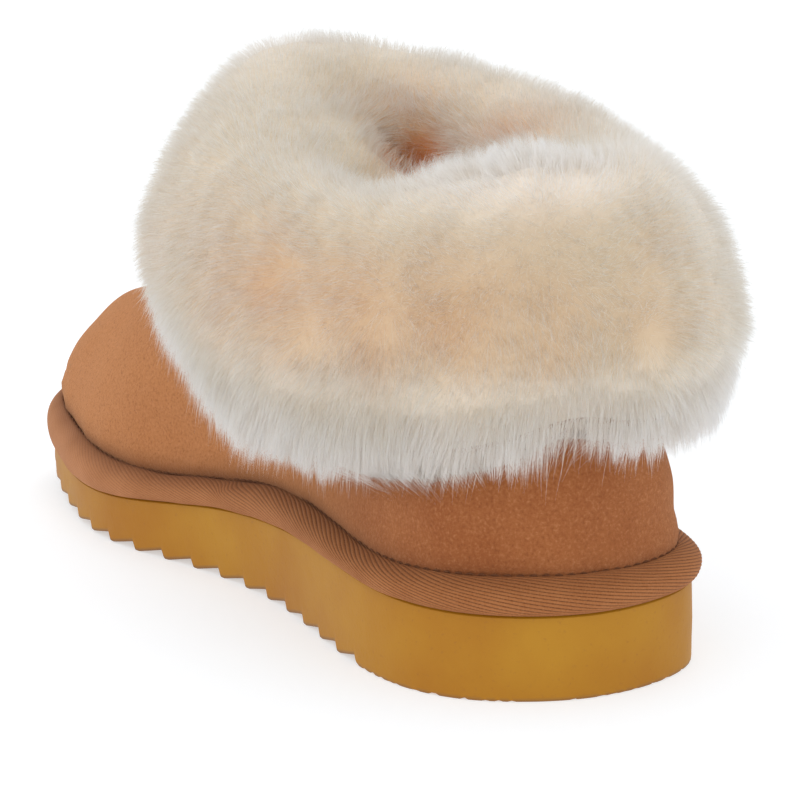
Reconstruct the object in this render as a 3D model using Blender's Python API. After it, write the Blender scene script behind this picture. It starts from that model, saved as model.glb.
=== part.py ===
"""A sheepskin slipper for the right foot, with a deep wool cuff turned down round its collar.

Tables and sizes are in millimetres and MM turns them into Blender's metres. The toe points
towards -Y, the inner side of the foot is at +X, and the origin lies on the heel's flat ground
face, 38 mm forward of the back of the sole. Every plan curve is sampled by its angle round the
foot: 0 is the back of the heel, a quarter the inner side, a half the tip of the toe, and three
quarters the outer side.
"""

import math

import bmesh
import bpy
import numpy as np

MM = 0.001

# ---------------------------------------------------------------- sole
SOLE_LENGTH = 262.0
HEEL_Y = 38.0
TOE_Y = HEEL_Y - SOLE_LENGTH
SOLE_MID_Y = (HEEL_Y + TOE_Y) / 2
# Plan outline of the sole, a row for each station from heel to toe.
OUTLINE = (
    # station, y, inner x, outer x
    ("heel back", HEEL_Y, -4.0, -4.0),
    ("heel round", 30.0, 20.8, -28.9),
    ("heel side", 20.0, 31.4, -35.3),
    ("heel centre", 2.0, 38.8, -39.3),
    ("heel front", -33.0, 37.0, -39.9),
    ("waist", -75.0, 31.2, -46.4),
    ("ball back", -113.0, 34.9, -53.7),
    ("ball", -143.0, 41.3, -54.4),
    ("toe side", -179.0, 37.4, -45.6),
    ("toe round", -211.0, 26.1, -26.6),
    ("toe tip", TOE_Y, 5.0, 5.0),
)
# Height of the sole's upper face above the ground.
SOLE_TOP = (
    # station, y, height
    ("toe tip", TOE_Y, 15.4),
    ("toe side", -198.0, 13.7),
    ("ball front", -168.0, 12.8),
    ("ball", -131.0, 15.2),
    ("waist front", -98.0, 19.4),
    ("waist", -70.0, 21.7),
    ("heel front", -30.0, 23.2),
    ("heel centre", 4.0, 22.3),
    ("heel back", HEEL_Y, 21.2),
)
TOE_SPRING = 5.3
SPRING_START_Y = -128.0
TOOTH_PITCH = 11.8
TOOTH_COUNT = 17
LAST_TOOTH_Y = -28.0
TOOTH_DEPTH = 2.7
TOOTH_LAND = 1.6
TOOTH_FACE_RUN = 0.9
HEEL_BLOCK_Y = -16.2
TOE_TREAD_RISE = 1.6
# How far the sole's side lies inside its outline, for each level of the side.
SOLE_SIDE = (
    # level, height, inset
    ("under the ground", -3.0, 0.9),
    ("ground edge", 1.2, 0.3),
    ("side", 6.0, 0.0),
    ("over the top", 40.0, 0.0),
)
SOLE_COLUMNS = 112
TOP_FACE_POINTS = 26
# How far the side view that cuts the sole reaches past its ends and its middle.
CUT_OVERLAP = 8.0
CUT_HALF_WIDTH = 70.0

# ---------------------------------------------------------------- pieces on the sole
SEAT_GAP = 0.3
UPPER_INSET = 5.0
UPPER_WALL = 2.5
INSOLE_GAP = 0.5
INSOLE_THICKNESS = 4.0
INSOLE_COLUMNS = 56
# Section of the binding: how far outside the sole's edge, and how far above its upper face, where
# it lies flattest, along the sides, and where it turns up most, round the toe.
BINDING_SECTION = (
    # corner, flat outward, flat height, turned outward, turned height
    ("inner foot", -4.5, 0.3, -4.5, 0.3),
    ("sole edge", 0.4, 0.3, 0.4, 0.3),
    ("roll under", 2.0, 1.2, 1.3, 1.8),
    ("roll", 2.8, 3.1, 1.7, 5.0),
    ("roll over", 2.3, 4.7, 1.2, 8.0),
    ("slope", 0.4, 6.0, -0.3, 10.3),
    ("slope top", -2.4, 6.9, -2.3, 11.9),
    ("stitch line", -4.0, 7.2, -3.6, 12.3),
)
# How far the binding is turned up, from place to place round the foot.
BINDING_TURN = (
    # place, angle round, share
    ("heel", 0.00, 0.35),
    ("inner heel", 0.09, 0.30),
    ("heel front", 0.16, 0.00),
    ("inner waist", 0.22, 0.35),
    ("ball back", 0.28, 0.00),
    ("inner ball", 0.32, 0.45),
    ("inner toe side", 0.36, 0.90),
    ("inner toe", 0.41, 1.00),
    ("outer toe", 0.59, 1.00),
    ("outer toe side", 0.64, 0.90),
    ("outer ball", 0.68, 0.45),
    ("outer ball back", 0.72, 0.05),
    ("outer waist", 0.80, 0.10),
    ("outer heel", 0.91, 0.25),
)
BINDING_COLUMNS = 112

# ---------------------------------------------------------------- upper
# The collar is an ellipse, and each ring of the upper lies between it and the sole's outline.
COLLAR_HALF_WIDTH = 35.0
COLLAR_CENTRE_X = -2.0
# A ring for each row: its share of the collar's ellipse, the y of its front and back, its
# width against the plain blend, and its height at the back, the sides and the front.
RINGS = (
    # ring, collar share, front y, back y, width, back z, side z, front z
    ("foot", 0.00, -219.0, 33.0, 1.00, 0.0, 0.0, 0.0),
    ("wall", 0.00, -219.8, 33.4, 1.01, 37.0, 34.0, 29.0),
    ("wall top", 0.03, -216.6, 33.5, 0.985, 49.0, 44.0, 41.0),
    ("toe dome", 0.12, -205.5, 32.5, 0.905, 60.0, 53.0, 52.0),
    ("vamp", 0.26, -190.0, 31.0, 0.84, 70.0, 62.5, 60.5),
    ("mid vamp", 0.42, -168.0, 29.5, 0.84, 80.0, 73.0, 66.0),
    ("instep", 0.60, -143.0, 28.0, 0.90, 89.0, 83.0, 75.0),
    ("ankle", 0.80, -121.0, 27.0, 0.97, 98.0, 93.0, 88.0),
    ("shaft", 0.93, -108.0, 26.5, 1.00, 105.0, 102.0, 100.0),
    ("collar", 1.00, -103.0, 26.0, 1.00, 112.0, 111.0, 112.0),
)
COLUMNS = 72
UPPER_ROWS = 13
SLOT_ROWS = 8

# ---------------------------------------------------------------- cuff
CUFF_GAP = 0.7
LINING_DEPTH = 0.86
LINING_THICKNESS = 8.0
# Where the cuff's edge lies on the upper, as a share of the upper's height.
HEM_LINE = (
    # place, angle round, share of the upper
    ("heel", 0.00, 0.36),
    ("inner heel", 0.12, 0.30),
    ("inner side", 0.22, 0.24),
    ("inner ball", 0.31, 0.345),
    ("inner vamp", 0.41, 0.57),
    ("front", 0.50, 0.64),
    ("outer vamp", 0.59, 0.57),
    ("outer ball", 0.69, 0.345),
    ("outer side", 0.78, 0.26),
    ("outer heel", 0.88, 0.30),
)
# Rings of the wool's own face, from inside the collar over the crest and down the outside. Lean
# is how much lower a ring lies on the inner side than halfway, and how much higher on the outer.
CUFF_RINGS = (
    # ring, front y, back y, half width, lean, back z, side z, front z
    ("throat", -86.0, 4.0, 14.0, 0.0, 100.0, 100.0, 103.0),
    ("inner roll", -93.0, 13.0, 17.5, 2.0, 121.0, 119.0, 128.0),
    ("crest", -110.0, 29.0, 33.5, 4.0, 130.0, 130.0, 141.0),
    ("shoulder", -132.0, 44.5, 50.5, 2.5, 120.5, 120.5, 131.0),
    ("high belly", -145.5, 54.0, 60.0, 2.0, 105.0, 104.0, 114.0),
    ("belly", -151.0, 58.0, 63.5, 1.0, 90.0, 87.0, 97.0),
    ("low belly", -153.0, 57.0, 61.0, 0.0, 76.0, 71.0, 84.0),
    ("hem", -151.0, 49.0, 54.0, 0.0, 65.0, 58.5, 75.5),
)
CUFF_CENTRE_X = -3.0
CUFF_ROWS = 16
# The share of the way from throat to hem at which the locks begin.
CREST_LEVEL = 0.3
LOCKS_ROUND = 24
LOCK_TIERS = 4
LOCK_RISE = 3.0
# The tips of the lowest locks lie on the suede past the hem, by a reach from lock to lock.
HEM_STEP = 0.02
HEM_TIP_RISE = 2.5
HEM_TIP_LEAST = 4.0
HEM_TIP_MOST = 8.0

# The angle past which an edge shows as sharp, on the sole, on folded pieces and on wool.
CUT_EDGE = 35.0
FOLD_EDGE = 50.0
WOOL_EDGE = 60.0

PALETTE = {
    # piece: colour, roughness
    "outsole": ((0.47, 0.26, 0.045), 0.62),
    "insole": ((0.72, 0.60, 0.42), 0.95),
    "binding": ((0.36, 0.14, 0.055), 0.88),
    "upper": ((0.38, 0.145, 0.055), 0.93),
    "cuff": ((0.76, 0.62, 0.45), 0.97),
}


# ---------------------------------------------------------------- curves
def column(table, index):
    """One column of a table of rows."""
    return np.array([row[index] for row in table], dtype=float)


def spline(knots, values, at, period=None):
    """The cubic through a table's rows whose bending is smooth, closed on itself if it has a period."""
    knots, values, at = (np.asarray(item, dtype=float) for item in (knots, values, at))
    if period:
        knots, values = np.append(knots, knots[0] + period), np.append(values, values[0])
        at = knots[0] + np.mod(at - knots[0], period)
    steps = np.diff(knots)
    rises = np.diff(values) / steps
    last = len(knots) - 1
    matrix = np.zeros((last + 1, last + 1))
    right = np.zeros(last + 1)
    for i in range(1, last):
        matrix[i, i - 1 : i + 2] = steps[i], 2 * (steps[i - 1] + steps[i]), steps[i - 1]
        right[i] = 3 * (steps[i] * rises[i - 1] + steps[i - 1] * rises[i])
    if period:
        matrix[0, 0], matrix[0, 1] = 2 * (steps[-1] + steps[0]), steps[-1]
        matrix[0, last - 1] = steps[0]
        right[0] = 3 * (steps[0] * rises[-1] + steps[-1] * rises[0])
        matrix[last, 0], matrix[last, last] = 1, -1
    else:
        matrix[0, 0], matrix[0, 1], right[0] = 2, 1, 3 * rises[0]
        matrix[last, last], matrix[last, last - 1], right[last] = 2, 1, 3 * rises[-1]
    slopes = np.linalg.solve(matrix, right)
    span = np.clip(np.searchsorted(knots, at, side="right") - 1, 0, last - 1)
    step = steps[span]
    part = (at - knots[span]) / step
    rest = 1 - part
    ends = values[span] * (1 + 2 * part) * rest**2 + values[span + 1] * (3 - 2 * part) * part**2
    return ends + step * part * rest * (slopes[span] * rest - slopes[span + 1] * part)


def around(table, columns):
    """A table's share at each column, read smoothly between its places round the foot."""
    return spline(column(table, 1), column(table, 2), np.arange(columns) / columns, period=1.0)


def angle_of(y):
    """The angle round the foot, up to a half, at which the sole's outline reaches y."""
    share = np.clip((np.asarray(y) - SOLE_MID_Y) / (SOLE_LENGTH / 2), -1, 1)
    return np.arccos(share) / math.tau


def outline(columns, inset=0.0):
    """The sole's plan outline, moved in by inset, as one point for each column."""
    y, inner, outer = (column(OUTLINE, index) for index in (1, 2, 3))
    knots = np.concatenate([angle_of(y), 1 - angle_of(y[-2:0:-1])])
    sides = np.concatenate([inner, outer[-2:0:-1]])
    turn = np.arange(columns) / columns
    x = spline(knots, sides, turn, period=1.0)
    points = np.stack([x, SOLE_MID_Y + SOLE_LENGTH / 2 * np.cos(math.tau * turn)], axis=1)
    return points - inset * outward(points)


def outward(points):
    """The plan direction out of a closed loop of points, at each of them."""
    along = np.roll(points, -1, axis=0) - np.roll(points, 1, axis=0)
    normal = np.stack([-along[:, 1], along[:, 0]], axis=1)
    return normal / np.linalg.norm(normal, axis=1, keepdims=True)


def sole_top(y):
    """The height of the sole's upper face."""
    return spline(column(SOLE_TOP, 1), column(SOLE_TOP, 2), np.clip(y, TOE_Y, HEEL_Y))


def ground_rise(y):
    """How far the tread has sprung off the ground at y."""
    share = np.clip((SPRING_START_Y - y) / (SPRING_START_Y - TOE_Y), 0, None)
    return TOE_SPRING * share**2


# ---------------------------------------------------------------- meshes
def material(name):
    """The piece's own plain finish."""
    colour, roughness = PALETTE[name]
    made = bpy.data.materials.new(name)
    made.use_nodes = True
    shader = made.node_tree.nodes["Principled BSDF"]
    shader.inputs["Base Color"].default_value = (*colour, 1.0)
    shader.inputs["Roughness"].default_value = roughness
    shader.inputs["Metallic"].default_value = 0.0
    return made


def add_object(name, points, faces, smooth_angle=CUT_EDGE):
    """A named object from points in millimetres and faces, its normals made to face out."""
    mesh = bpy.data.meshes.new(name)
    mesh.from_pydata([tuple(float(value) * MM for value in point) for point in points], [], faces)
    work = bmesh.new()
    work.from_mesh(mesh)
    bmesh.ops.recalc_face_normals(work, faces=work.faces)
    if work.calc_volume(signed=True) < 0:
        bmesh.ops.reverse_faces(work, faces=work.faces)
    work.to_mesh(mesh)
    work.free()
    made = bpy.data.objects.new(name, mesh)
    bpy.context.scene.collection.objects.link(made)
    mesh.shade_smooth()
    mesh.set_sharp_from_angle(angle=math.radians(smooth_angle))
    if name in PALETTE:
        mesh.materials.append(material(name))
    return made


def tube_faces(rows, columns, closed_rows):
    """Quads between rows of points, closed round the columns and, if asked, from last row to first."""
    faces = []
    for row in range(rows if closed_rows else rows - 1):
        following = (row + 1) % rows
        for col in range(columns):
            beside = (col + 1) % columns
            faces.append(
                (
                    row * columns + col,
                    row * columns + beside,
                    following * columns + beside,
                    following * columns + col,
                )
            )
    return faces


def rung_faces(start, columns):
    """Quads across a loop of columns, each joining two opposite points, with a triangle at each end."""
    faces = [(start, start + 1, start + columns - 1)]
    for step in range(1, columns // 2 - 1):
        faces.append((start + step, start + step + 1, start + columns - step - 1, start + columns - step))
    half = columns // 2
    faces.append((start + half - 1, start + half, start + half + 1))
    return faces


def raised(points, heights):
    """Plan points given their heights."""
    return np.column_stack([points, heights])


# ---------------------------------------------------------------- sole and insole
def sole_profile():
    """The side view of the sole: the saw-tooth tread from toe to heel, then the upper face back."""
    first_tooth = LAST_TOOTH_Y - TOOTH_PITCH * (TOOTH_COUNT - 1)
    tips = [first_tooth + TOOTH_PITCH * index for index in range(TOOTH_COUNT)] + [HEEL_BLOCK_Y]
    past_toe = TOE_Y - CUT_OVERLAP
    past_heel = HEEL_Y + CUT_OVERLAP
    corners = [(past_toe, ground_rise(past_toe) + TOE_TREAD_RISE)]
    for tip in tips:
        root = tip - TOOTH_FACE_RUN
        corners.append((root, ground_rise(root) + TOOTH_DEPTH))
        corners.append((tip, ground_rise(tip)))
        if tip != tips[-1]:
            corners.append((tip + TOOTH_LAND, ground_rise(tip + TOOTH_LAND)))
    corners.append((past_heel, 0.0))
    for y in np.linspace(past_heel, past_toe, TOP_FACE_POINTS):
        corners.append((y, sole_top(y)))
    return corners


def boolean(target, other, operation):
    """Applies a Boolean with the exact solver and removes the second object."""
    modifier = target.modifiers.new("cut", "BOOLEAN")
    modifier.operation = operation
    modifier.solver = "EXACT"
    modifier.object = other
    evaluated = target.evaluated_get(bpy.context.evaluated_depsgraph_get())
    mesh = bpy.data.meshes.new_from_object(evaluated)
    target.modifiers.clear()
    target.data = mesh
    bpy.data.objects.remove(other)


def make_outsole():
    """The wedge sole: its plan outline cut by its side view."""
    rings = [raised(outline(SOLE_COLUMNS, inset), np.full(SOLE_COLUMNS, z)) for _, z, inset in SOLE_SIDE]
    faces = tube_faces(len(rings), SOLE_COLUMNS, closed_rows=False)
    top_start = (len(rings) - 1) * SOLE_COLUMNS
    faces.append(tuple(range(SOLE_COLUMNS)))
    faces.append(tuple(top_start + index for index in range(SOLE_COLUMNS)))
    sole = add_object("outsole", np.concatenate(rings), faces)
    profile = sole_profile()
    sides = [[(side, y, z) for y, z in profile] for side in (-CUT_HALF_WIDTH, CUT_HALF_WIDTH)]
    count = len(profile)
    faces = [(i, (i + 1) % count, count + (i + 1) % count, count + i) for i in range(count)]
    faces += [tuple(range(count)), tuple(range(count, 2 * count))]
    cutter = add_object("side view", sides[0] + sides[1], faces)
    boolean(sole, cutter, "INTERSECT")
    sole.data.shade_smooth()
    sole.data.set_sharp_from_angle(angle=math.radians(CUT_EDGE))


def make_insole():
    """The footbed, a sheet of even thickness that follows the sole's upper face inside the upper."""
    edge = outline(INSOLE_COLUMNS, UPPER_INSET + UPPER_WALL + INSOLE_GAP)
    bottom = raised(edge, sole_top(edge[:, 1]) + SEAT_GAP)
    top = bottom + (0.0, 0.0, INSOLE_THICKNESS)
    faces = tube_faces(2, INSOLE_COLUMNS, closed_rows=False)
    faces += rung_faces(0, INSOLE_COLUMNS) + rung_faces(INSOLE_COLUMNS, INSOLE_COLUMNS)
    add_object("insole", np.concatenate([bottom, top]), faces)


def make_binding():
    """The bound edge that runs round the foot of the upper and stands a little past the sole."""
    edge = outline(BINDING_COLUMNS)
    out = outward(edge)
    seat = sole_top(edge[:, 1])
    turned = around(BINDING_TURN, BINDING_COLUMNS)
    rows = []
    for _, flat_out, flat_height, turned_out, turned_height in BINDING_SECTION:
        beyond = flat_out + (turned_out - flat_out) * turned
        height = flat_height + (turned_height - flat_height) * turned
        rows.append(raised(edge + beyond[:, None] * out, seat + height))
    faces = tube_faces(len(rows), BINDING_COLUMNS, closed_rows=True)
    add_object("binding", np.concatenate(rows), faces, FOLD_EDGE)


# ---------------------------------------------------------------- rings
def table_row(table, at):
    """The named columns of a table of rings, read smoothly between its rows."""
    rows = np.arange(len(table))
    return [float(spline(rows, column(table, index), [at])[0]) for index in range(1, len(table[0]))]


def tilted(run, back_z, side_z, front_z):
    """Heights along a ring whose back, sides and front lie at different levels."""
    return back_z + (4 * side_z - 3 * back_z - front_z) * run + 2 * (back_z + front_z - 2 * side_z) * run**2


def turns(columns):
    """The angle round the foot of each column, in radians."""
    return math.tau * np.arange(columns) / columns


def normals(rings):
    """The direction out of a grid of rings, which rise or fall from row to row."""
    along = np.roll(rings, -1, axis=1) - np.roll(rings, 1, axis=1)
    rising = np.gradient(rings, axis=0)
    out = np.cross(rising, along)
    return out / np.linalg.norm(out, axis=2, keepdims=True)


# ---------------------------------------------------------------- upper
def upper_ring(share):
    """The upper's outer face, as a closed ring, at a share of the way from its foot to its collar."""
    at = share * (len(RINGS) - 1)
    collar, front, back, width, back_z, side_z, front_z = table_row(RINGS, at)
    turn = turns(COLUMNS)
    foot = outline(COLUMNS, UPPER_INSET)
    x = (1 - collar) * foot[:, 0] + collar * (COLLAR_CENTRE_X + COLLAR_HALF_WIDTH * np.sin(turn))
    x = x.mean() + width * (x - x.mean())
    run = (foot[:, 1].max() - foot[:, 1]) / np.ptp(foot[:, 1])
    run = (1 - collar) * run + collar * (1 - np.cos(turn)) / 2
    seated = max(0.0, 1.0 - at)
    seat = sole_top(foot[:, 1]) + SEAT_GAP
    z = (1 - seated) * tilted(run, back_z, side_z, front_z) + seated * seat
    return np.column_stack([x, back + (front - back) * run, z])


def upper_rings():
    """The upper's outer face, ring by ring from its foot to its collar."""
    return np.array([upper_ring(share) for share in np.linspace(0, 1, UPPER_ROWS)])


def make_upper():
    """The suede upper: one wall, open at the collar and over the insole, its two rims cut level."""
    rings = upper_rings()
    inside = rings - UPPER_WALL * normals(rings)
    inside[0, :, 2] = rings[0, :, 2]
    inside[-1, :, 2] = rings[-1, :, 2]
    rows = np.concatenate([rings, inside[::-1]])
    faces = tube_faces(len(rows), COLUMNS, closed_rows=True)
    add_object("upper", rows.reshape(-1, 3), faces, FOLD_EDGE)


# ---------------------------------------------------------------- cuff
def on_upper(rings, shares):
    """A point of each column of the upper's rings, at that column's own share of the height."""
    spots = shares * (len(rings) - 1)
    low = np.minimum(spots.astype(int), len(rings) - 2)
    part = (spots - low)[:, None]
    cols = np.arange(COLUMNS)
    return (1 - part) * rings[low, cols] + part * rings[low + 1, cols]


def lock_waves(stagger=0.0):
    """The locks side by side round a ring: 0 between two of them and 1 on the middle of each."""
    return np.abs(np.sin(math.pi * (LOCKS_ROUND * np.arange(COLUMNS) / COLUMNS + stagger)))


def lock_rise(below_crest):
    """How far the wool stands out: staggered tiers of locks, each fullest at its lower end."""
    if below_crest <= 0:
        return np.zeros(COLUMNS)
    tier = min(math.floor(below_crest * LOCK_TIERS), LOCK_TIERS - 1)
    return LOCK_RISE * lock_waves(0.5 * (tier % 2)) * (below_crest * LOCK_TIERS - tier)


def cuff_rings():
    """The wool's face from the throat to the hem."""
    turn = turns(COLUMNS)
    run = (1 - np.cos(turn)) / 2
    rings = []
    for at in np.linspace(0, len(CUFF_RINGS) - 1, CUFF_ROWS):
        front, back, half_width, lean, back_z, side_z, front_z = table_row(CUFF_RINGS, at)
        x = CUFF_CENTRE_X + half_width * np.sin(turn)
        z = tilted(run, back_z, side_z, front_z) - lean * np.sin(turn)
        rings.append(np.column_stack([x, back + (front - back) * run, z]))
    return np.array(rings)


def slot_rows(upper, out, hem):
    """The slot that the upper stands in: up its outer face, over its edge and down inside."""
    rim = np.ones(COLUMNS)
    rows = []
    for step in np.linspace(0, 1, SLOT_ROWS):
        shares = hem + (1 - hem) * step
        rows.append(on_upper(upper, shares) + CUFF_GAP * on_upper(out, shares))
    inner_face = UPPER_WALL + CUFF_GAP
    rows.append(on_upper(upper, rim) - inner_face * on_upper(out, rim))
    for over_rim in rows[-2:]:
        over_rim[:, 2] = upper[-1, :, 2] + CUFF_GAP
    for share in ((1 + LINING_DEPTH) / 2, LINING_DEPTH):
        rows.append(on_upper(upper, share * rim) - inner_face * on_upper(out, share * rim))
    rows.append(rows[-1] - LINING_THICKNESS * on_upper(out, LINING_DEPTH * rim))
    return rows


def hem_tips(upper, out, hem):
    """The tips of the lowest locks, on the suede below the hem."""
    lower = on_upper(upper, hem - HEM_STEP) - on_upper(upper, hem)
    lower /= np.linalg.norm(lower, axis=1, keepdims=True)
    reach = HEM_TIP_LEAST + (HEM_TIP_MOST - HEM_TIP_LEAST) * lock_waves()
    return on_upper(upper, hem) + HEM_TIP_RISE * on_upper(out, hem) + reach[:, None] * lower


def make_cuff():
    """The wool cuff: it lines the collar, rolls over it and hangs outside down to a hem of locks."""
    upper = upper_rings()
    out = normals(upper)
    hem = around(HEM_LINE, COLUMNS)
    rows = slot_rows(upper, out, hem)
    wool = cuff_rings()
    for level, ring, ring_out in zip(np.linspace(0, 1, CUFF_ROWS), wool, normals(wool)):
        rise = lock_rise((level - CREST_LEVEL) / (1 - CREST_LEVEL))
        rows.append(ring + rise[:, None] * ring_out)
    rows.append(hem_tips(upper, out, hem))
    faces = tube_faces(len(rows), COLUMNS, closed_rows=True)
    add_object("cuff", np.array(rows).reshape(-1, 3), faces, WOOL_EDGE)


def main():
    for item in list(bpy.data.objects):
        bpy.data.objects.remove(item)
    make_outsole()
    make_insole()
    make_binding()
    make_upper()
    make_cuff()


main()
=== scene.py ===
"""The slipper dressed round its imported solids: foam sole, twill tape, suede, fleece and deep wool.

Sizes are in millimetres in the part's own frame, and MM turns them into Blender's metres. The toe
points towards -Y, the inner side of the foot is at +X and the floor lies at Z = 0. A place round
the foot is a share of a turn: 0 is the back of the heel, a quarter the inner side, a half the tip
of the toe, and three quarters the outer side.
"""

import math

import bpy
import numpy as np
from mathutils import Matrix, Vector
from mathutils.bvhtree import BVHTree
from mathutils.kdtree import KDTree


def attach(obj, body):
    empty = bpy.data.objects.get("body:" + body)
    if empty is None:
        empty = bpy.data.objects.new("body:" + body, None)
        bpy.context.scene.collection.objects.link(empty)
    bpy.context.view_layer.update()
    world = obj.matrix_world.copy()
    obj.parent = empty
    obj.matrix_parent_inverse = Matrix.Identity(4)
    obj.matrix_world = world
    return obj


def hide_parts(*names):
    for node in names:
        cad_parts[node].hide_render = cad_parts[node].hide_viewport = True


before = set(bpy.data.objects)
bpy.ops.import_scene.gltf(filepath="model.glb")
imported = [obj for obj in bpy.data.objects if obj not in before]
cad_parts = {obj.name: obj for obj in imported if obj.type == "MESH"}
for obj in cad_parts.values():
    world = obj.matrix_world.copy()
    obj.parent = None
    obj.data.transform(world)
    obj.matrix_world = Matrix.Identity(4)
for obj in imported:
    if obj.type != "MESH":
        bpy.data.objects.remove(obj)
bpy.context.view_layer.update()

MM = 0.001

# ---------------------------------------------------------------- the shoe's own form
SOLE_LENGTH = 262.0
HEEL_Y = 38.0
TOE_Y = HEEL_Y - SOLE_LENGTH
SOLE_MID_Y = (HEEL_Y + TOE_Y) / 2
OUTLINE = (
    # station, y, inner x, outer x
    ("heel back", HEEL_Y, -4.0, -4.0),
    ("heel round", 30.0, 20.8, -28.9),
    ("heel side", 20.0, 31.4, -35.3),
    ("heel centre", 2.0, 38.8, -39.3),
    ("heel front", -33.0, 37.0, -39.9),
    ("waist", -75.0, 31.2, -46.4),
    ("ball back", -113.0, 34.9, -53.7),
    ("ball", -143.0, 41.3, -54.4),
    ("toe side", -179.0, 37.4, -45.6),
    ("toe round", -211.0, 26.1, -26.6),
    ("toe tip", TOE_Y, 5.0, 5.0),
)
SOLE_TOP = (
    # station, y, height
    ("toe tip", TOE_Y, 15.4),
    ("toe side", -198.0, 13.7),
    ("ball front", -168.0, 12.8),
    ("ball", -131.0, 15.2),
    ("waist front", -98.0, 19.4),
    ("waist", -70.0, 21.7),
    ("heel front", -30.0, 23.2),
    ("heel centre", 4.0, 22.3),
    ("heel back", HEEL_Y, 21.2),
)
TOE_SPRING = 5.3
SPRING_START_Y = -128.0
TOOTH_PITCH = 11.8
TOOTH_COUNT = 17
LAST_TOOTH_Y = -28.0
TOOTH_DEPTH = 2.3
TOOTH_LAND = 1.6
TOOTH_FACE_RUN = 0.9
TOOTH_ROUND = 0.25
TOOTH_TIP_RISE = 0.12
TREAD_FRONT_RISE = 0.25
HEEL_BLOCK_Y = -16.2
SEAT_GAP = 0.3
UPPER_INSET = 5.0
UPPER_WALL = 2.5
INSOLE_INSET = 8.0
INSOLE_THICKNESS = 4.0
BINDING_SECTION = (
    # corner, flat outward, flat height, turned outward, turned height
    ("sole edge", 0.4, 0.3, 0.4, 0.3),
    ("roll under", 2.0, 1.2, 1.3, 1.8),
    ("roll", 2.8, 3.1, 1.7, 5.0),
    ("roll over", 2.3, 4.7, 1.2, 8.0),
    ("slope", 0.4, 6.0, -0.3, 10.3),
    ("slope top", -2.4, 6.9, -2.3, 11.9),
    ("stitch line", -4.0, 7.2, -3.6, 12.3),
)
BINDING_TURN = (
    # place, angle round, share
    ("heel", 0.00, 0.35),
    ("inner heel", 0.09, 0.30),
    ("heel front", 0.16, 0.00),
    ("inner waist", 0.22, 0.35),
    ("ball back", 0.28, 0.00),
    ("inner ball", 0.32, 0.45),
    ("inner toe side", 0.36, 0.90),
    ("inner toe", 0.41, 1.00),
    ("outer toe", 0.59, 1.00),
    ("outer toe side", 0.64, 0.90),
    ("outer ball", 0.68, 0.45),
    ("outer ball back", 0.72, 0.05),
    ("outer waist", 0.80, 0.10),
    ("outer heel", 0.91, 0.25),
)
COLLAR_HALF_WIDTH = 35.0
COLLAR_CENTRE_X = -2.0
RINGS = (
    # ring, collar share, front y, back y, width, back z, side z, front z
    ("foot", 0.00, -219.0, 33.0, 1.00, 0.0, 0.0, 0.0),
    ("wall", 0.00, -219.8, 33.4, 1.01, 37.0, 34.0, 29.0),
    ("wall top", 0.03, -216.6, 33.5, 0.985, 49.0, 44.0, 41.0),
    ("toe dome", 0.12, -205.5, 32.5, 0.905, 60.0, 53.0, 52.0),
    ("vamp", 0.26, -190.0, 31.0, 0.84, 70.0, 62.5, 60.5),
    ("mid vamp", 0.42, -168.0, 29.5, 0.84, 80.0, 73.0, 66.0),
    ("instep", 0.60, -143.0, 28.0, 0.90, 89.0, 83.0, 75.0),
    ("ankle", 0.80, -121.0, 27.0, 0.97, 98.0, 93.0, 88.0),
    ("shaft", 0.93, -108.0, 26.5, 1.00, 105.0, 102.0, 100.0),
    ("collar", 1.00, -103.0, 26.0, 1.00, 112.0, 111.0, 112.0),
)
HEM_LINE = (
    # place, angle round the wool, share of the upper
    ("heel", 0.00, 0.36),
    ("inner heel", 0.12, 0.30),
    ("inner side", 0.21, 0.25),
    ("behind the inner ball", 0.28, 0.34),
    ("inner ball", 0.32, 0.45),
    ("inner vamp", 0.40, 0.57),
    ("front", 0.50, 0.67),
    ("outer vamp", 0.60, 0.56),
    ("outer ball", 0.68, 0.40),
    ("outer side", 0.76, 0.285),
    ("outer heel", 0.88, 0.31),
)
# How much further round the upper the wool's foot lies than round the wool.
HEM_SHIFT = (
    # place, angle round the wool, shift
    ("heel", 0.00, 0.0),
    ("inner heel", 0.12, -0.004),
    ("inner side", 0.21, -0.030),
    ("inner ball", 0.30, -0.042),
    ("inner vamp", 0.38, -0.040),
    ("inner front", 0.44, -0.012),
    ("front", 0.50, 0.0),
    ("outer front", 0.56, 0.014),
    ("outer vamp", 0.62, 0.046),
    ("outer ball", 0.70, 0.047),
    ("outer side", 0.80, 0.038),
    ("outer heel", 0.90, 0.020),
)
CUFF_RINGS = (
    # ring, front y, back y, half width, lean, back z, side z, front z
    ("throat", -86.0, 4.0, 14.0, 0.0, 100.0, 100.0, 103.0),
    ("inner roll", -93.0, 13.0, 17.5, 2.0, 121.0, 119.0, 128.0),
    ("crest", -110.0, 29.0, 33.5, 4.0, 130.0, 130.0, 141.0),
    ("shoulder", -132.0, 44.5, 50.5, 2.5, 120.5, 120.5, 131.0),
    ("high belly", -145.5, 54.0, 60.0, 2.0, 105.0, 104.0, 114.0),
    ("belly", -151.0, 58.0, 63.5, 1.0, 90.0, 87.0, 97.0),
    ("low belly", -153.0, 57.0, 61.0, 0.0, 76.0, 71.0, 84.0),
    ("hem", -151.0, 49.0, 54.0, 0.0, 65.0, 58.5, 75.5),
)
CUFF_CENTRE_X = -3.0
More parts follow.
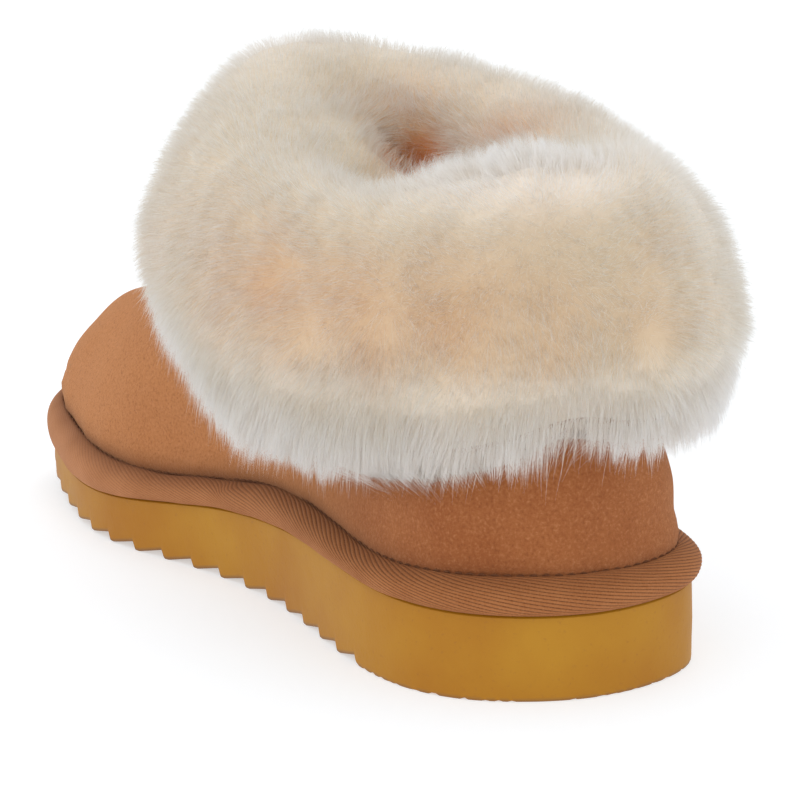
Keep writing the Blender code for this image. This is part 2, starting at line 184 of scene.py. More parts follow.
# How far the wool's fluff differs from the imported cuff, ring by ring.
FLUFF = (
    # ring, front y, back y, half width, back z, side z, front z
    ("throat", 18.0, -6.0, -11.0, 22.5, 22.5, 23.5),
    ("inner roll", 7.0, -5.0, -5.0, 6.0, 7.0, 5.0),
    ("crest", 0.0, 0.0, 0.0, 0.0, 0.0, 0.0),
    ("shoulder", 0.0, 0.0, 0.0, 0.0, 0.0, 0.0),
    ("high belly", 0.0, 0.0, 0.0, 0.0, 0.0, 0.0),
    ("belly", 0.0, 0.0, 0.0, 0.0, -0.8, 1.5),
    ("low belly", 2.0, -1.0, 0.0, 1.5, -0.8, 4.3),
    ("hem", 3.0, 0.0, 0.0, 0.3, -3.2, 6.4),
)

# ---------------------------------------------------------------- the view
VIEW_AZIMUTH = 148.77
VIEW_ELEVATION = 14.58
VIEW_ROLL = -1.18
VIEW_DISTANCE = 900.7
VIEW_TARGET = (-9.69, -73.18, 48.15)
VIEW_LENS = 153.21
SENSOR = 36.0


def srgb(red, green, blue):
    """A colour named by its screen values, as the linear colour that shaders take."""
    shares = np.array([red, green, blue]) / 255.0
    linear = np.where(shares <= 0.04045, shares / 12.92, ((shares + 0.055) / 1.055) ** 2.4)
    return (*(float(value) for value in linear), 1.0)


# ---------------------------------------------------------------- curves
def column(table, index):
    """One column of a table of rows."""
    return np.array([row[index] for row in table], dtype=float)


def spline(knots, values, at, period=None):
    """The cubic through a table's rows whose bending is smooth, closed on itself if it has a period."""
    knots, values, at = (np.asarray(item, dtype=float) for item in (knots, values, at))
    if period:
        knots, values = np.append(knots, knots[0] + period), np.append(values, values[0])
        at = knots[0] + np.mod(at - knots[0], period)
    steps = np.diff(knots)
    rises = np.diff(values) / steps
    last = len(knots) - 1
    matrix = np.zeros((last + 1, last + 1))
    right = np.zeros(last + 1)
    for i in range(1, last):
        matrix[i, i - 1 : i + 2] = steps[i], 2 * (steps[i - 1] + steps[i]), steps[i - 1]
        right[i] = 3 * (steps[i] * rises[i - 1] + steps[i - 1] * rises[i])
    if period:
        matrix[0, 0], matrix[0, 1] = 2 * (steps[-1] + steps[0]), steps[-1]
        matrix[0, last - 1] = steps[0]
        right[0] = 3 * (steps[0] * rises[-1] + steps[-1] * rises[0])
        matrix[last, 0], matrix[last, last] = 1, -1
    else:
        matrix[0, 0], matrix[0, 1], right[0] = 2, 1, 3 * rises[0]
        matrix[last, last], matrix[last, last - 1], right[last] = 2, 1, 3 * rises[-1]
    slopes = np.linalg.solve(matrix, right)
    span = np.clip(np.searchsorted(knots, at, side="right") - 1, 0, last - 1)
    step = steps[span]
    part = (at - knots[span]) / step
    rest = 1 - part
    ends = values[span] * (1 + 2 * part) * rest**2 + values[span + 1] * (3 - 2 * part) * part**2
    return ends + step * part * rest * (slopes[span] * rest - slopes[span + 1] * part)


def around(table, turns, index=2):
    """One column of a table whose rows stand round the foot, read at any places."""
    return spline(column(table, 1), column(table, index), turns, period=1.0)


def turns_from(place, turns):
    """How far round the foot places lie from a place, -0.5 to 0.5."""
    return np.mod(turns - place + 0.5, 1) - 0.5


def table_rows(table, at):
    """The named columns of a table of rings, read smoothly between its rows, each as a column array."""
    rows = np.arange(len(table))
    return [spline(rows, column(table, index), at)[:, None] for index in range(1, len(table[0]))]


def angle_of(y):
    """The place round the foot, up to a half, at which the sole's outline reaches y."""
    share = np.clip((np.asarray(y) - SOLE_MID_Y) / (SOLE_LENGTH / 2), -1, 1)
    return np.arccos(share) / math.tau


def outline(turns):
    """The sole's plan outline and the direction out of it, at places round the foot."""
    y, inner, outer = (column(OUTLINE, index) for index in (1, 2, 3))
    knots = np.concatenate([angle_of(y), 1 - angle_of(y[-2:0:-1])])
    sides = np.concatenate([inner, outer[-2:0:-1]])
    step = 0.0005
    spots = []
    for turn in (turns, turns - step, turns + step):
        x = spline(knots, sides, turn, period=1.0)
        spots.append(np.stack([x, SOLE_MID_Y + SOLE_LENGTH / 2 * np.cos(math.tau * turn)], axis=1))
    along = spots[2] - spots[1]
    out = np.stack([-along[:, 1], along[:, 0]], axis=1)
    return spots[0], out / np.linalg.norm(out, axis=1, keepdims=True)


def sole_top(y):
    """The height of the sole's upper face."""
    return spline(column(SOLE_TOP, 1), column(SOLE_TOP, 2), np.clip(y, TOE_Y, HEEL_Y))


def on_seat(spot, rise=0.0):
    """Points over the sole's upper face, clear of it by the seat's gap and a rise."""
    return np.column_stack([spot, sole_top(spot[:, 1]) + SEAT_GAP + rise])


def ground_rise(y):
    """How far the tread has sprung off the ground at y."""
    share = np.clip((SPRING_START_Y - y) / (SPRING_START_Y - TOE_Y), 0, None)
    return TOE_SPRING * share**2


def tilted(run, back_z, side_z, front_z):
    """Heights along a ring whose back, sides and front lie at different levels."""
    return back_z + (4 * side_z - 3 * back_z - front_z) * run + 2 * (back_z + front_z - 2 * side_z) * run**2


def bell(distance, width):
    """A soft hump, 1 in the middle."""
    return np.exp(-((distance / width) ** 2))


def blob(points, centre, reach):
    """A soft hump round a point in space, 1 at the point."""
    return bell(np.linalg.norm(points - np.asarray(centre), axis=-1), reach)


def smooth_step(value, low, high):
    """0 at low and before it, 1 at high and past it, and a soft rise between."""
    share = np.clip((value - low) / (high - low), 0, 1)
    return share * share * (3 - 2 * share)


def waves(points, size, seed, count=20):
    """A smooth random field over points, about -1 to 1, whose blobs are about size across."""
    rng = np.random.default_rng(seed)
    ways = rng.normal(size=(count, 3))
    ways *= (math.pi / size) * rng.uniform(0.6, 1.4, (count, 1)) / np.linalg.norm(ways, axis=1, keepdims=True)
    phases = rng.uniform(0, math.tau, count)
    return np.cos(points @ ways.T + phases).sum(axis=-1) * math.sqrt(0.5 / count)


def rough(points, *layers):
    """Random relief over points: a sum of waves, each layer a height, a size across and a seed."""
    return sum(height * waves(points, size, seed) for height, size, seed in layers)


def unit(vectors):
    """Vectors at length 1."""
    return vectors / np.maximum(np.linalg.norm(vectors, axis=-1, keepdims=True), 1e-9)


def grid_normals(rings):
    """The direction out of a grid of closed rings."""
    along = np.roll(rings, -1, axis=1) - np.roll(rings, 1, axis=1)
    rising = np.gradient(rings, axis=0)
    return unit(np.cross(rising, along))


# ---------------------------------------------------------------- meshes
def add_object(name, data):
    """An object in the scene."""
    made = bpy.data.objects.new(name, data)
    bpy.context.scene.collection.objects.link(made)
    return made


def add_mesh(name, points, polygons, finish):
    """A mesh object from points in millimetres and arrays of polygons, one array for each size."""
    mesh = bpy.data.meshes.new(name)
    points = np.asarray(points, dtype=np.float32).reshape(-1, 3) * MM
    mesh.vertices.add(len(points))
    mesh.vertices.foreach_set("co", points.ravel())
    corners = np.concatenate([np.asarray(group).ravel() for group in polygons]).astype(np.int32)
    sizes = np.concatenate([np.full(len(group), len(group[0])) for group in polygons])
    mesh.loops.add(len(corners))
    mesh.loops.foreach_set("vertex_index", corners)
    mesh.polygons.add(len(sizes))
    mesh.polygons.foreach_set("loop_start", (np.cumsum(sizes) - sizes).astype(np.int32))
    mesh.update(calc_edges=True)
    mesh.validate()
    mesh.shade_smooth()
    made = add_object(name, mesh)
    mesh.materials.append(finish)
    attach(made, "root")
    return made


def add_number(piece, name, values):
    """A number for each point of a piece, which its finish may read."""
    layer = piece.data.attributes.new(name, "FLOAT", "POINT")
    layer.data.foreach_set("value", np.asarray(values, dtype=np.float32).ravel())


def tube_quads(rows, columns, closed_rows=True):
    """Quads between rows of points, closed round the columns and, unless told not to, from end to start."""
    row = np.arange(rows if closed_rows else rows - 1)[:, None]
    above = (row + 1) % rows * columns
    col = np.arange(columns)[None, :]
    beside = (col + 1) % columns
    row = row * columns
    return np.stack([row + col, row + beside, above + beside, above + col], axis=-1).reshape(-1, 4)


def add_tube(name, rows, finish):
    """A mesh object from closed rows of points, the last row joined to the first."""
    return add_mesh(name, rows, [tube_quads(*rows.shape[:2])], finish)


# ---------------------------------------------------------------- finishes
class Finish:
    """A Principled material, with short ways to add nodes to it."""

    def __init__(self, name, roughness, specular=0.25, sheen=0.0, sheen_tint=(255, 255, 255)):
        self.material = bpy.data.materials.new(name)
        self.material.use_nodes = True
        self.tree = self.material.node_tree
        self.shader = self.tree.nodes["Principled BSDF"]
        self.fill(self.shader, {"Roughness": roughness, "Specular IOR Level": specular})
        self.fill(self.shader, {"Sheen Weight": sheen, "Sheen Roughness": 0.6, "Sheen Tint": sheen_tint})
        self.place = self.node("ShaderNodeTexCoord").outputs["Object"]

    def fill(self, node, inputs):
        """Links each named input of a node to a socket, or sets it to a number or a screen colour."""
        for name, value in inputs.items():
            if isinstance(value, bpy.types.NodeSocket):
                self.tree.links.new(value, node.inputs[name])
            else:
                node.inputs[name].default_value = srgb(*value) if isinstance(value, tuple) else value

    def node(self, kind, **inputs):
        """A new node; an input's name has _ for each space."""
        made = self.tree.nodes.new(kind)
        self.fill(made, {name.replace("_", " "): value for name, value in inputs.items()})
        return made

    def noise(self, size, detail=3.0, roughness=0.5):
        """Noise whose blobs are about size millimetres across."""
        scale = 1 / (size * MM)
        node = self.node("ShaderNodeTexNoise", Scale=scale, Detail=detail, Roughness=roughness)
        self.fill(node, {"Vector": self.place})
        return node.outputs["Fac"]

    def mottled(self, factor, first, second):
        """Two colours in soft patches."""
        return self.ramp(factor, (0.3, first), (0.7, second))

    def ramp(self, factor, *stops):
        """Colours along a factor, as (place, colour) stops."""
        node = self.node("ShaderNodeValToRGB", Fac=factor)
        elements = node.color_ramp.elements
        while len(elements) < len(stops):
            elements.new(0.5)
        for element, (place, colour) in zip(elements, stops):
            element.position = place
            element.color = srgb(*colour)
        return node.outputs["Color"]

    def mix(self, factor, first, second):
        """Two colours blended by a factor."""
        node = self.node("ShaderNodeMix")
        node.data_type = "RGBA"
        self.fill(node, {"Factor": factor, "A": first, "B": second})
        return node.outputs["Result"]

    def between(self, value, low, high, out_low=0.0, out_high=1.0):
        """A value's range from low to high turned into another range."""
        node = self.node("ShaderNodeMapRange", Value=value, From_Min=low, From_Max=high)
        self.fill(node, {"To Min": out_low, "To Max": out_high})
        return node.outputs["Result"]

    def number(self, name):
        """A number that the mesh carries at each point."""
        node = self.node("ShaderNodeAttribute")
        node.attribute_name = name
        return node.outputs["Fac"]

    def colour(self, value):
        """The base colour."""
        self.base = value
        self.fill(self.shader, {"Base Color": value})

    def tint(self, factor, colour):
        """Turns the base colour towards another by a factor."""
        self.colour(self.mix(factor, self.base, colour))

    def let_through(self, colour, share):
        """Lets a share of the light that falls on the far side through, as thin fibres do."""
        through = self.node("ShaderNodeBsdfTranslucent", Color=colour)
        mixed = self.node("ShaderNodeMixShader", Fac=share)
        self.fill(mixed, {1: self.shader.outputs["BSDF"], 2: through.outputs["BSDF"]})
        self.fill(self.tree.nodes["Material Output"], {"Surface": mixed.outputs["Shader"]})

    def bump(self, *layers):
        """Fine relief from (height, depth in millimetres) layers, each laid over the one before."""
        onto = self.shader
        for height, depth in reversed(layers):
            node = self.node("ShaderNodeBump", Distance=depth * MM, Height=height)
            self.fill(onto, {"Normal": node.outputs["Normal"]})
            onto = node


def foam_finish():
    """Honey-yellow foam rubber: smooth, cloudy, and browner low down, where shade is painted along its lowest
    edge.
    """
    finish = Finish("foam", 0.55, specular=0.3)
    finish.colour(finish.mottled(finish.noise(38.0, detail=4.0), (164, 104, 8), (179, 126, 24)))
    finish.tint(finish.between(finish.noise(1.1, detail=2.0), 0.62, 0.75, 0.0, 0.35), (150, 96, 34))
    # Painted shade: the underside and the lowest edge of the side are darkened brown, as where the sole meets
    # the floor.
    finish.tint(finish.number("tread"), (128, 92, 58))
    finish.bump((finish.noise(0.9, detail=4.0), 0.06), (finish.noise(9.0), 0.25))
    return finish.material


def tape_finish():
    """Chestnut twill tape: painted light along its ribs and painted shade between them, almost plain at the
    toe, and painted shade towards the seam.
    """
    finish = Finish("tape", 0.82, specular=0.2, sheen=0.15, sheen_tint=(230, 180, 140))
    cloud = finish.noise(14.0)
    lit = finish.mottled(cloud, (152, 90, 46), (170, 108, 62))
    finish.colour(finish.mottled(cloud, (164, 108, 70), (180, 122, 84)))
    # Painted light and shade: the ribs' tops take the lit colours and the hollows between them are painted
    # dark.
    painted_rib_shade = finish.mix(finish.between(finish.number("rib"), 0.1, 0.8), (88, 44, 20), lit)
    finish.tint(finish.between(finish.number("show"), 0.2, 1.0), painted_rib_shade)
    fibre = finish.noise(0.45, detail=4.0)
    finish.tint(finish.between(fibre, 0.3, 0.7, 0.0, 0.3), (190, 134, 90))
    # Painted shade in the groove along the seam.
    finish.tint(finish.number("groove"), (92, 50, 28))
    finish.bump((fibre, 0.12))
    return finish.material


def suede_finish():
    """Chestnut suede: a short mottled nap, with painted light towards the toe and at the inner waist, and
    painted shade in the seam's groove.
    """
    finish = Finish("suede", 0.95, specular=0.1, sheen=0.35, sheen_tint=(236, 190, 150))
    finish.colour(finish.mottled(finish.noise(30.0), (147, 82, 44), (168, 103, 60)))
    # Painted light: paler towards the toe, where more light falls, and at the inner waist, lifted out of the
    # wool's shade.
    finish.tint(finish.between(finish.number("painted_light"), 0.0, 1.0, 0.0, 0.65), (190, 128, 80))
    nap = finish.noise(0.8, detail=5.0, roughness=0.7)
    finish.tint(finish.between(nap, 0.52, 0.75, 0.0, 0.7), (198, 136, 92))
    finish.tint(finish.between(nap, 0.48, 0.3, 0.0, 0.7), (126, 68, 36))
    # Painted shade in the seam's groove.
    finish.tint(finish.number("groove"), (104, 58, 32))
    finish.bump((nap, 0.35), (finish.noise(0.5, detail=4.0), 0.12))
    return finish.material


def thread_finish():
    """The dark thread of the seam."""
    finish = Finish("thread", 0.8)
    finish.colour(finish.mottled(finish.noise(0.6), (92, 54, 32), (120, 76, 48)))
    return finish.material


def fleece_finish():
    """Short cream fleece."""
    finish = Finish("fleece", 0.95, specular=0.1, sheen=0.3)
    curls = finish.noise(2.4, detail=4.0)
    finish.colour(finish.mottled(curls, (196, 160, 120), (232, 210, 180)))
    finish.bump((curls, 1.2))
    return finish.material


def undercoat_finish():
    """The dense wool under the long tips."""
    finish = Finish("undercoat", 0.97, specular=0.05, sheen=0.5)
    finish.colour((214, 198, 172))
    finish.tint(finish.number("warm"), (210, 166, 120))
    # Cool follows the paleness, which along the crest and on the far sides is partly painted rim light.
    finish.tint(finish.number("cool"), (246, 234, 220))
    finish.tint(finish.between(finish.noise(3.0), 0.3, 0.7, 0.0, 0.15), (214, 190, 162))
    # Painted shade: the pit and the undercoat inside the collar are painted deep orange, standing in for the
    # warm shade of the recess.
    finish.tint(finish.number("deep"), (234, 134, 28))
    finish.bump((finish.noise(1.6, detail=4.0), 0.4))
    return finish.material


def wool_finish():
    """Wool strands, paler at the tip: the map's U is the tone and its V the way from root to tip."""
    finish = Finish("wool", 0.9, specular=0.1, sheen=0.25)
    strand_map = finish.node("ShaderNodeUVMap")
    strand_map.uv_map = "OFBake"
    parts = finish.node("ShaderNodeSeparateXYZ", Vector=strand_map.outputs["UV"])
    tone, along = parts.outputs["X"], parts.outputs["Y"]
    # The deep ramp is painted warm shade, for strands in the pit.
    deep = finish.ramp(along, (0.0, (232, 130, 24)), (0.6, (216, 142, 54)), (1.0, (232, 172, 92)))
    warm = finish.ramp(along, (0.5, (212, 166, 118)), (0.75, (220, 190, 154)), (1.0, (234, 222, 206)))
    pale = finish.ramp(along, (0.5, (216, 198, 168)), (0.7, (222, 212, 194)), (1.0, (236, 238, 234)))
    cool = finish.ramp(along, (0.3, (236, 224, 210)), (0.6, (248, 240, 232)), (1.0, (252, 251, 250)))
    finish.colour(deep)
    finish.tint(finish.between(tone, 0.0, 0.2), warm)
    finish.tint(finish.between(tone, 0.2, 0.75), pale)
    finish.tint(finish.between(tone, 0.75, 1.0), cool)
    # Light let through strands in the pit is orange, part of the pit's painted warm shade.
    through = finish.mix(finish.between(tone, 0.0, 0.4), (240, 154, 52), (240, 244, 248))
    finish.let_through(through, 0.5)
    return finish.material


# ---------------------------------------------------------------- sole
SOLE_SECTION = (
    # ring, inset, share of the height, rise in millimetres
    ("bottom edge", 0.55, 0.0, 0.0),
    ("bottom round", 0.32, 0.0, 0.06),
    ("bottom corner", 0.15, 0.0, 0.25),
    ("low side", 0.05, 0.0, 1.2),
    ("side foot", 0.0, 0.0, 5.5),
    ("side", -0.15, 0.5, 0.0),
    ("side top", 0.0, 1.0, -2.0),
    ("top corner", 0.1, 1.0, -0.5),
    ("top round", 0.45, 1.0, -0.12),
    ("top edge", 0.9, 1.0, 0.0),
)
SOLE_STEPS = 241
RUNGS = 12
# How many of the sole's edge points are nicked, and how high the nicks reach.
NICK_SHARE = 0.16
NICKS = (0.1, 0.55)
# How dark the painted shade on the underside is, on the teeth and on the heel block.
TOOTH_SHADE = 0.8
HEEL_SHADE = 0.6


def tooth_tips():
    """Where the tread's teeth and the heel block begin, from the toe on."""
    teeth = [LAST_TOOTH_Y - TOOTH_PITCH * index for index in range(TOOTH_COUNT)]
    return [*teeth[::-1], HEEL_BLOCK_Y]


def tread_height(y):
    """The height of the tread: saw teeth that face the toe, then the flat heel block."""
    tips = tooth_tips()
    knots = [(tips[0] - TOOTH_PITCH, TREAD_FRONT_RISE)]
    for tip in tips:
        knots += [(tip - TOOTH_FACE_RUN, TOOTH_DEPTH), (tip, TOOTH_TIP_RISE), (tip + TOOTH_ROUND, 0.0)]
        if tip != HEEL_BLOCK_Y:
            knots.append((tip + TOOTH_LAND, 0.0))
    knots.append((HEEL_Y, 0.0))
    return ground_rise(y) + np.interp(y, column(knots, 0), column(knots, 1))


def make_sole():
    """The foam sole, its tread cut in saw teeth and its edges a little rounded and nicked."""
    breaks = (-TOOTH_FACE_RUN, -0.5 * TOOTH_FACE_RUN, 0.0, TOOTH_ROUND, TOOTH_LAND)
    corners = np.add.outer(tooth_tips(), breaks).ravel()
    sides = np.unique(np.round(np.concatenate([angle_of(corners), np.linspace(0, 0.5, SOLE_STEPS)]), 5))
    sides = sides[np.concatenate([[True], np.diff(sides) > 0.0002])]
    turns = np.concatenate([sides, 1 - sides[-2:0:-1]])
    edge, out = outline(turns)
    count = len(turns)
    rng = np.random.default_rng(11)
    nicks = np.where(rng.random(count) < NICK_SHARE, rng.uniform(*NICKS, count), 0.0)
    rings = []
    for _, inset, share, rise in SOLE_SECTION:
        spot = edge - inset * out
        bottom = ground_rise(spot[:, 1])
        plain = bottom + share * (sole_top(spot[:, 1]) - bottom) + rise
        z = tread_height(spot[:, 1]) + rise if share == 0 and rise < 5 else plain
        spot = spot + rough(np.column_stack([spot, plain]), (0.12, 26.0, 3))[:, None] * out
        if share == 0 and rise < 1:
            z = z + nicks * (spot[:, 1] > HEEL_BLOCK_Y)
        rings.append(np.column_stack([spot, z]))
    points = [np.concatenate(rings)]
    quads = [tube_quads(len(rings), count, closed_rows=False)]
    half = count // 2
    start = len(rings) * count
    for ring, face in ((0, tread_height), (len(rings) - 1, sole_top)):
        inner = rings[ring][1:half]
        outer = rings[ring][:half:-1]
        shares = np.linspace(0, 1, RUNGS + 1)[1:-1, None, None]
        across = inner + (outer - inner) * shares
        rows = np.zeros((RUNGS + 1, half - 1), dtype=int)
        rows[0] = ring * count + np.arange(1, half)
        rows[-1] = ring * count + np.arange(count - 1, half, -1)
        rows[1:-1] = start + np.arange((RUNGS - 1) * (half - 1)).reshape(RUNGS - 1, half - 1)
        start += (RUNGS - 1) * (half - 1)
        points.append(across.reshape(-1, 3))
        flip = ring > 0
        block = np.stack([rows[:-1, :-1], rows[:-1, 1:], rows[1:, 1:], rows[1:, :-1]], axis=-1).reshape(-1, 4)
        quads.append(block if flip else block[:, ::-1])
        for end, tip in ((0, ring * count), (half - 2, ring * count + half)):
            fan = np.stack([np.full(RUNGS, tip), rows[:-1, end], rows[1:, end]], axis=-1)
            quads.append(fan if (end == 0) == flip else fan[:, ::-1])
    points = np.concatenate(points)
    sole = add_mesh("foam_sole", points, quads, foam_finish())
    sole.data.set_sharp_from_angle(angle=math.radians(38))
    # Painted shade: points at the bottom of the tread carry how dark the foam is painted there.
    under = points[:, 2] < tread_height(points[:, 1]) + 0.3
    shade = np.where(points[:, 1] < HEEL_BLOCK_Y - 0.2, TOOTH_SHADE, HEEL_SHADE)
    add_number(sole, "tread", np.where(under, shade, 0.0))
    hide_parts("outsole")


# ---------------------------------------------------------------- tape
RIB_PITCH = 0.8
RIB_RELIEF = 0.16
COLUMNS_A_RIB = 5
TAPE_ROWS = 34
RIBS = (
    # place, angle round, how far a rib runs up for each step along, how plainly it shows
    ("heel", 0.00, 0.20, 1.0),
    ("inner heel", 0.06, 0.17, 1.0),
    ("heel front", 0.10, 0.22, 1.0),
    ("inner waist", 0.14, 0.29, 1.0),
    ("inner waist front", 0.19, 0.22, 1.0),
    ("ball back", 0.22, 0.25, 0.9),
    ("joint", 0.26, 0.34, 0.8),
    ("inner ball", 0.31, 0.33, 0.55),
    ("toe", 0.45, 0.33, 0.35),
    ("outer ball", 0.66, 0.30, 0.5),
    ("outer waist", 0.80, 0.26, 0.9),
    ("outer heel", 0.92, 0.30, 1.0),
)
# How strong the painted shade in the seam's groove is, round the foot.
SEAM_SHADE = (
    # place, angle round, share
    ("heel", 0.00, 0.35),
    ("inner heel", 0.09, 0.50),
    ("inner waist", 0.18, 1.00),
    ("toe", 0.50, 1.00),
    ("outer waist", 0.80, 0.90),
    ("outer heel", 0.92, 0.40),
)
TAPE_WIDTH = 12.5
# The tape's ends meet at the inner side, where its ribs swirl and it is thicker.
JOINT_TURN = 0.242
JOINT_SWIRL = 5.0
JOINT_LIFT = 0.7
FINE_TURNS = 4000


def tape_point(turns, up):
    """Points of the tape's outer face: up is 0 at the sole and 1 at the seam."""
    edge, out = outline(turns)
    turned = around(BINDING_TURN, turns)
    corners = np.arange(len(BINDING_SECTION)) / (len(BINDING_SECTION) - 1)
    flat_out, flat_up, turned_out, turned_up = (
        spline(corners, column(BINDING_SECTION, index), up) for index in (1, 2, 3, 4)
    )
    beyond = flat_out + (turned_out - flat_out) * turned
    height = flat_up + (turned_up - flat_up) * turned
    dip = 0.35 * bell(up - 1.0, 0.09)
    spot = edge + (beyond - 0.5 * dip)[:, None] * out
    z = sole_top(edge[:, 1]) + height - dip
    return np.column_stack([spot, z])


def tape_length():
    """Places round the foot and the tape's running length at each."""
    turns = np.linspace(0, 1, FINE_TURNS + 1)
    spots, _ = outline(turns)
    steps = np.linalg.norm(np.diff(spots, axis=0), axis=1)
    return turns, np.concatenate([[0.0], np.cumsum(steps)])


def along_rib(up, start, turns, phase, run):
    """Places round the foot at which ribs, numbered by where they start, have run up to a height."""
    turn = np.interp(np.mod(start + up * TAPE_WIDTH / RIB_PITCH, phase[-1]), phase, turns)
    middle = np.interp(JOINT_TURN, turns, run)
    spot = np.interp(turn, turns, run)
    bent = spot + JOINT_SWIRL * bell(spot - middle, 8.0) * math.sin(math.pi * up)
    return np.interp(bent, run, turns)


def make_tape():
    """The twill tape: every rib is its own low ridge, run slantwise from the sole's edge to the seam."""
    turns, run = tape_length()
    slope = around(RIBS, turns)
    phase = np.concatenate([[0.0], np.cumsum(0.5 * (slope[1:] + slope[:-1]) * np.diff(run))]) / RIB_PITCH
    ribs = round(phase[-1])
    phase = phase * (ribs / phase[-1])
    columns = ribs * COLUMNS_A_RIB
    start = np.arange(columns) / COLUMNS_A_RIB
    ridge = np.abs(np.sin(math.pi * start)) ** 0.8
    rows, looks = [], []
    for up in np.linspace(0, 1, TAPE_ROWS):
        turn = along_rib(up, start, turns, phase, run)
        spot = tape_point(turn, up)
        rising = tape_point(turn, min(1.0, up + 0.02)) - tape_point(turn, max(0.0, up - 0.02))
        ahead = tape_point(np.mod(turn + 0.0005, 1), up) - spot
        face = unit(np.cross(rising, ahead))
        show = around(RIBS, turn, 3)
        fade = smooth_step(up, 0.0, 0.08) * smooth_step(up, 1.0, 0.94)
        joint = bell(np.interp(turn, turns, run) - np.interp(JOINT_TURN, turns, run), 7.0)
        lift = RIB_RELIEF * show * fade * (ridge - 0.5) + JOINT_LIFT * joint * bell(up - 0.35, 0.4)
        lift = lift + fade * rough(spot, (0.22, 13.0, 7))
        rows.append(spot + lift[:, None] * face)
        # Painted shade, darkest towards the seam's groove.
        shade = 0.6 * bell(up - 1.0, 0.34) + 0.2 * bell(up - 1.0, 0.08)
        looks.append((np.where(fade > 0.5, ridge, 0.5), show, shade * around(SEAM_SHADE, turn)))
    # Behind the seam and under the sole's edge the tape is folded in.
    for up, inset in ((1.0, 4.4), (0.0, 1.5)):
        turn = along_rib(up, start, turns, phase, run)
        edge, out = outline(turn)
        rows.append(np.column_stack([edge - inset * out, sole_top(edge[:, 1]) + SEAT_GAP]))
        looks.append((np.full(columns, 0.5), np.ones(columns), np.ones(columns)))
    tape = add_tube("twill_tape", np.array(rows), tape_finish())
    for name, values in zip(("rib", "show", "groove"), zip(*looks)):
        add_number(tape, name, values)
    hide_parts("binding")


STITCH_PITCH = 3.3
STITCH_LENGTH = 2.3
STITCH_RADIUS = 0.22
STITCH_UP = 0.93
STITCH_STEPS = 7
STITCH_SIDES = 6


def make_stitches():
    """The seam's stitches, each a short plump thread sunk in the groove."""
    turns, run = tape_length()
    count = round(run[-1] / STITCH_PITCH)
    middle = np.interp(np.arange(count) * run[-1] / count, run, turns)
    half_turn = np.interp(STITCH_LENGTH / 2, run, turns)
    shares = np.linspace(-1, 1, STITCH_STEPS)
    girth = np.sqrt(np.maximum(1 - shares**2, 0.02)) * STITCH_RADIUS
    angle = math.tau * np.arange(STITCH_SIDES)[:, None] / STITCH_SIDES
    rings = []
    for share, radius in zip(shares, girth):
        turn = np.mod(middle + share * half_turn, 1)
        core = tape_point(turn, STITCH_UP + 0.02 * share)
        core[:, 2] += 0.25 * (1 - share**2) + 0.1
        side = np.column_stack([outline(turn)[1], np.zeros(count)])
        spoke = np.cos(angle) * side[:, None] + np.sin(angle) * (0.0, 0.0, 1.0)
        rings.append(core[:, None] + radius * spoke)
    points = np.stack(rings, axis=1)
    starts = STITCH_STEPS * STITCH_SIDES * np.arange(count)[:, None, None]
    quads = (tube_quads(STITCH_STEPS, STITCH_SIDES, closed_rows=False) + starts).reshape(-1, 4)
    ring = np.arange(STITCH_SIDES)
    ends = np.stack([ring[::-1], ring + (STITCH_STEPS - 1) * STITCH_SIDES])
    caps = (ends + starts).reshape(-1, STITCH_SIDES)
    stitches = add_mesh("seam_stitches", points, [quads, caps], thread_finish())


# ---------------------------------------------------------------- suede
SUEDE_COLUMNS = 480
SUEDE_ROWS = 84
SUEDE_INNER_ROWS = 12
FINE_SHARES = 201
# Soft troughs and ridges in the suede: where each lies, how it runs, and how deep it is.
CREASES = (
    # crease, angle round, height, run round in turns, run up, width in turns, width up, depth
    ("toe dome dent", 0.435, 46.0, 0.030, 10.0, 0.014, 6.0, 0.7),
    ("toe side ridge", 0.400, 40.0, 0.020, 14.0, 0.010, 8.0, -0.5),
    ("ball trough", 0.345, 38.0, 0.028, 3.0, 0.020, 4.0, 0.6),
    ("ball ridge", 0.330, 31.0, 0.030, 2.0, 0.020, 3.0, -0.4),
    ("waist trough", 0.270, 36.0, 0.024, 4.0, 0.018, 3.5, 0.7),
    ("waist ridge", 0.235, 40.0, 0.022, 8.0, 0.012, 6.0, -0.6),
    ("heel front trough", 0.190, 44.0, 0.012, 10.0, 0.010, 9.0, 0.6),
    ("heel trough", 0.075, 50.0, 0.010, 16.0, 0.009, 14.0, 0.45),
    ("heel ridge", 0.030, 44.0, 0.010, 12.0, 0.010, 12.0, -0.4),
    ("outer ball trough", 0.665, 38.0, 0.026, 4.0, 0.020, 4.0, 0.6),
    ("outer waist trough", 0.760, 40.0, 0.022, 6.0, 0.016, 5.0, 0.6),
    ("outer heel trough", 0.900, 48.0, 0.012, 12.0, 0.011, 11.0, 0.5),
    ("vamp dent", 0.500, 58.0, 0.040, 4.0, 0.030, 7.0, 0.6),
)


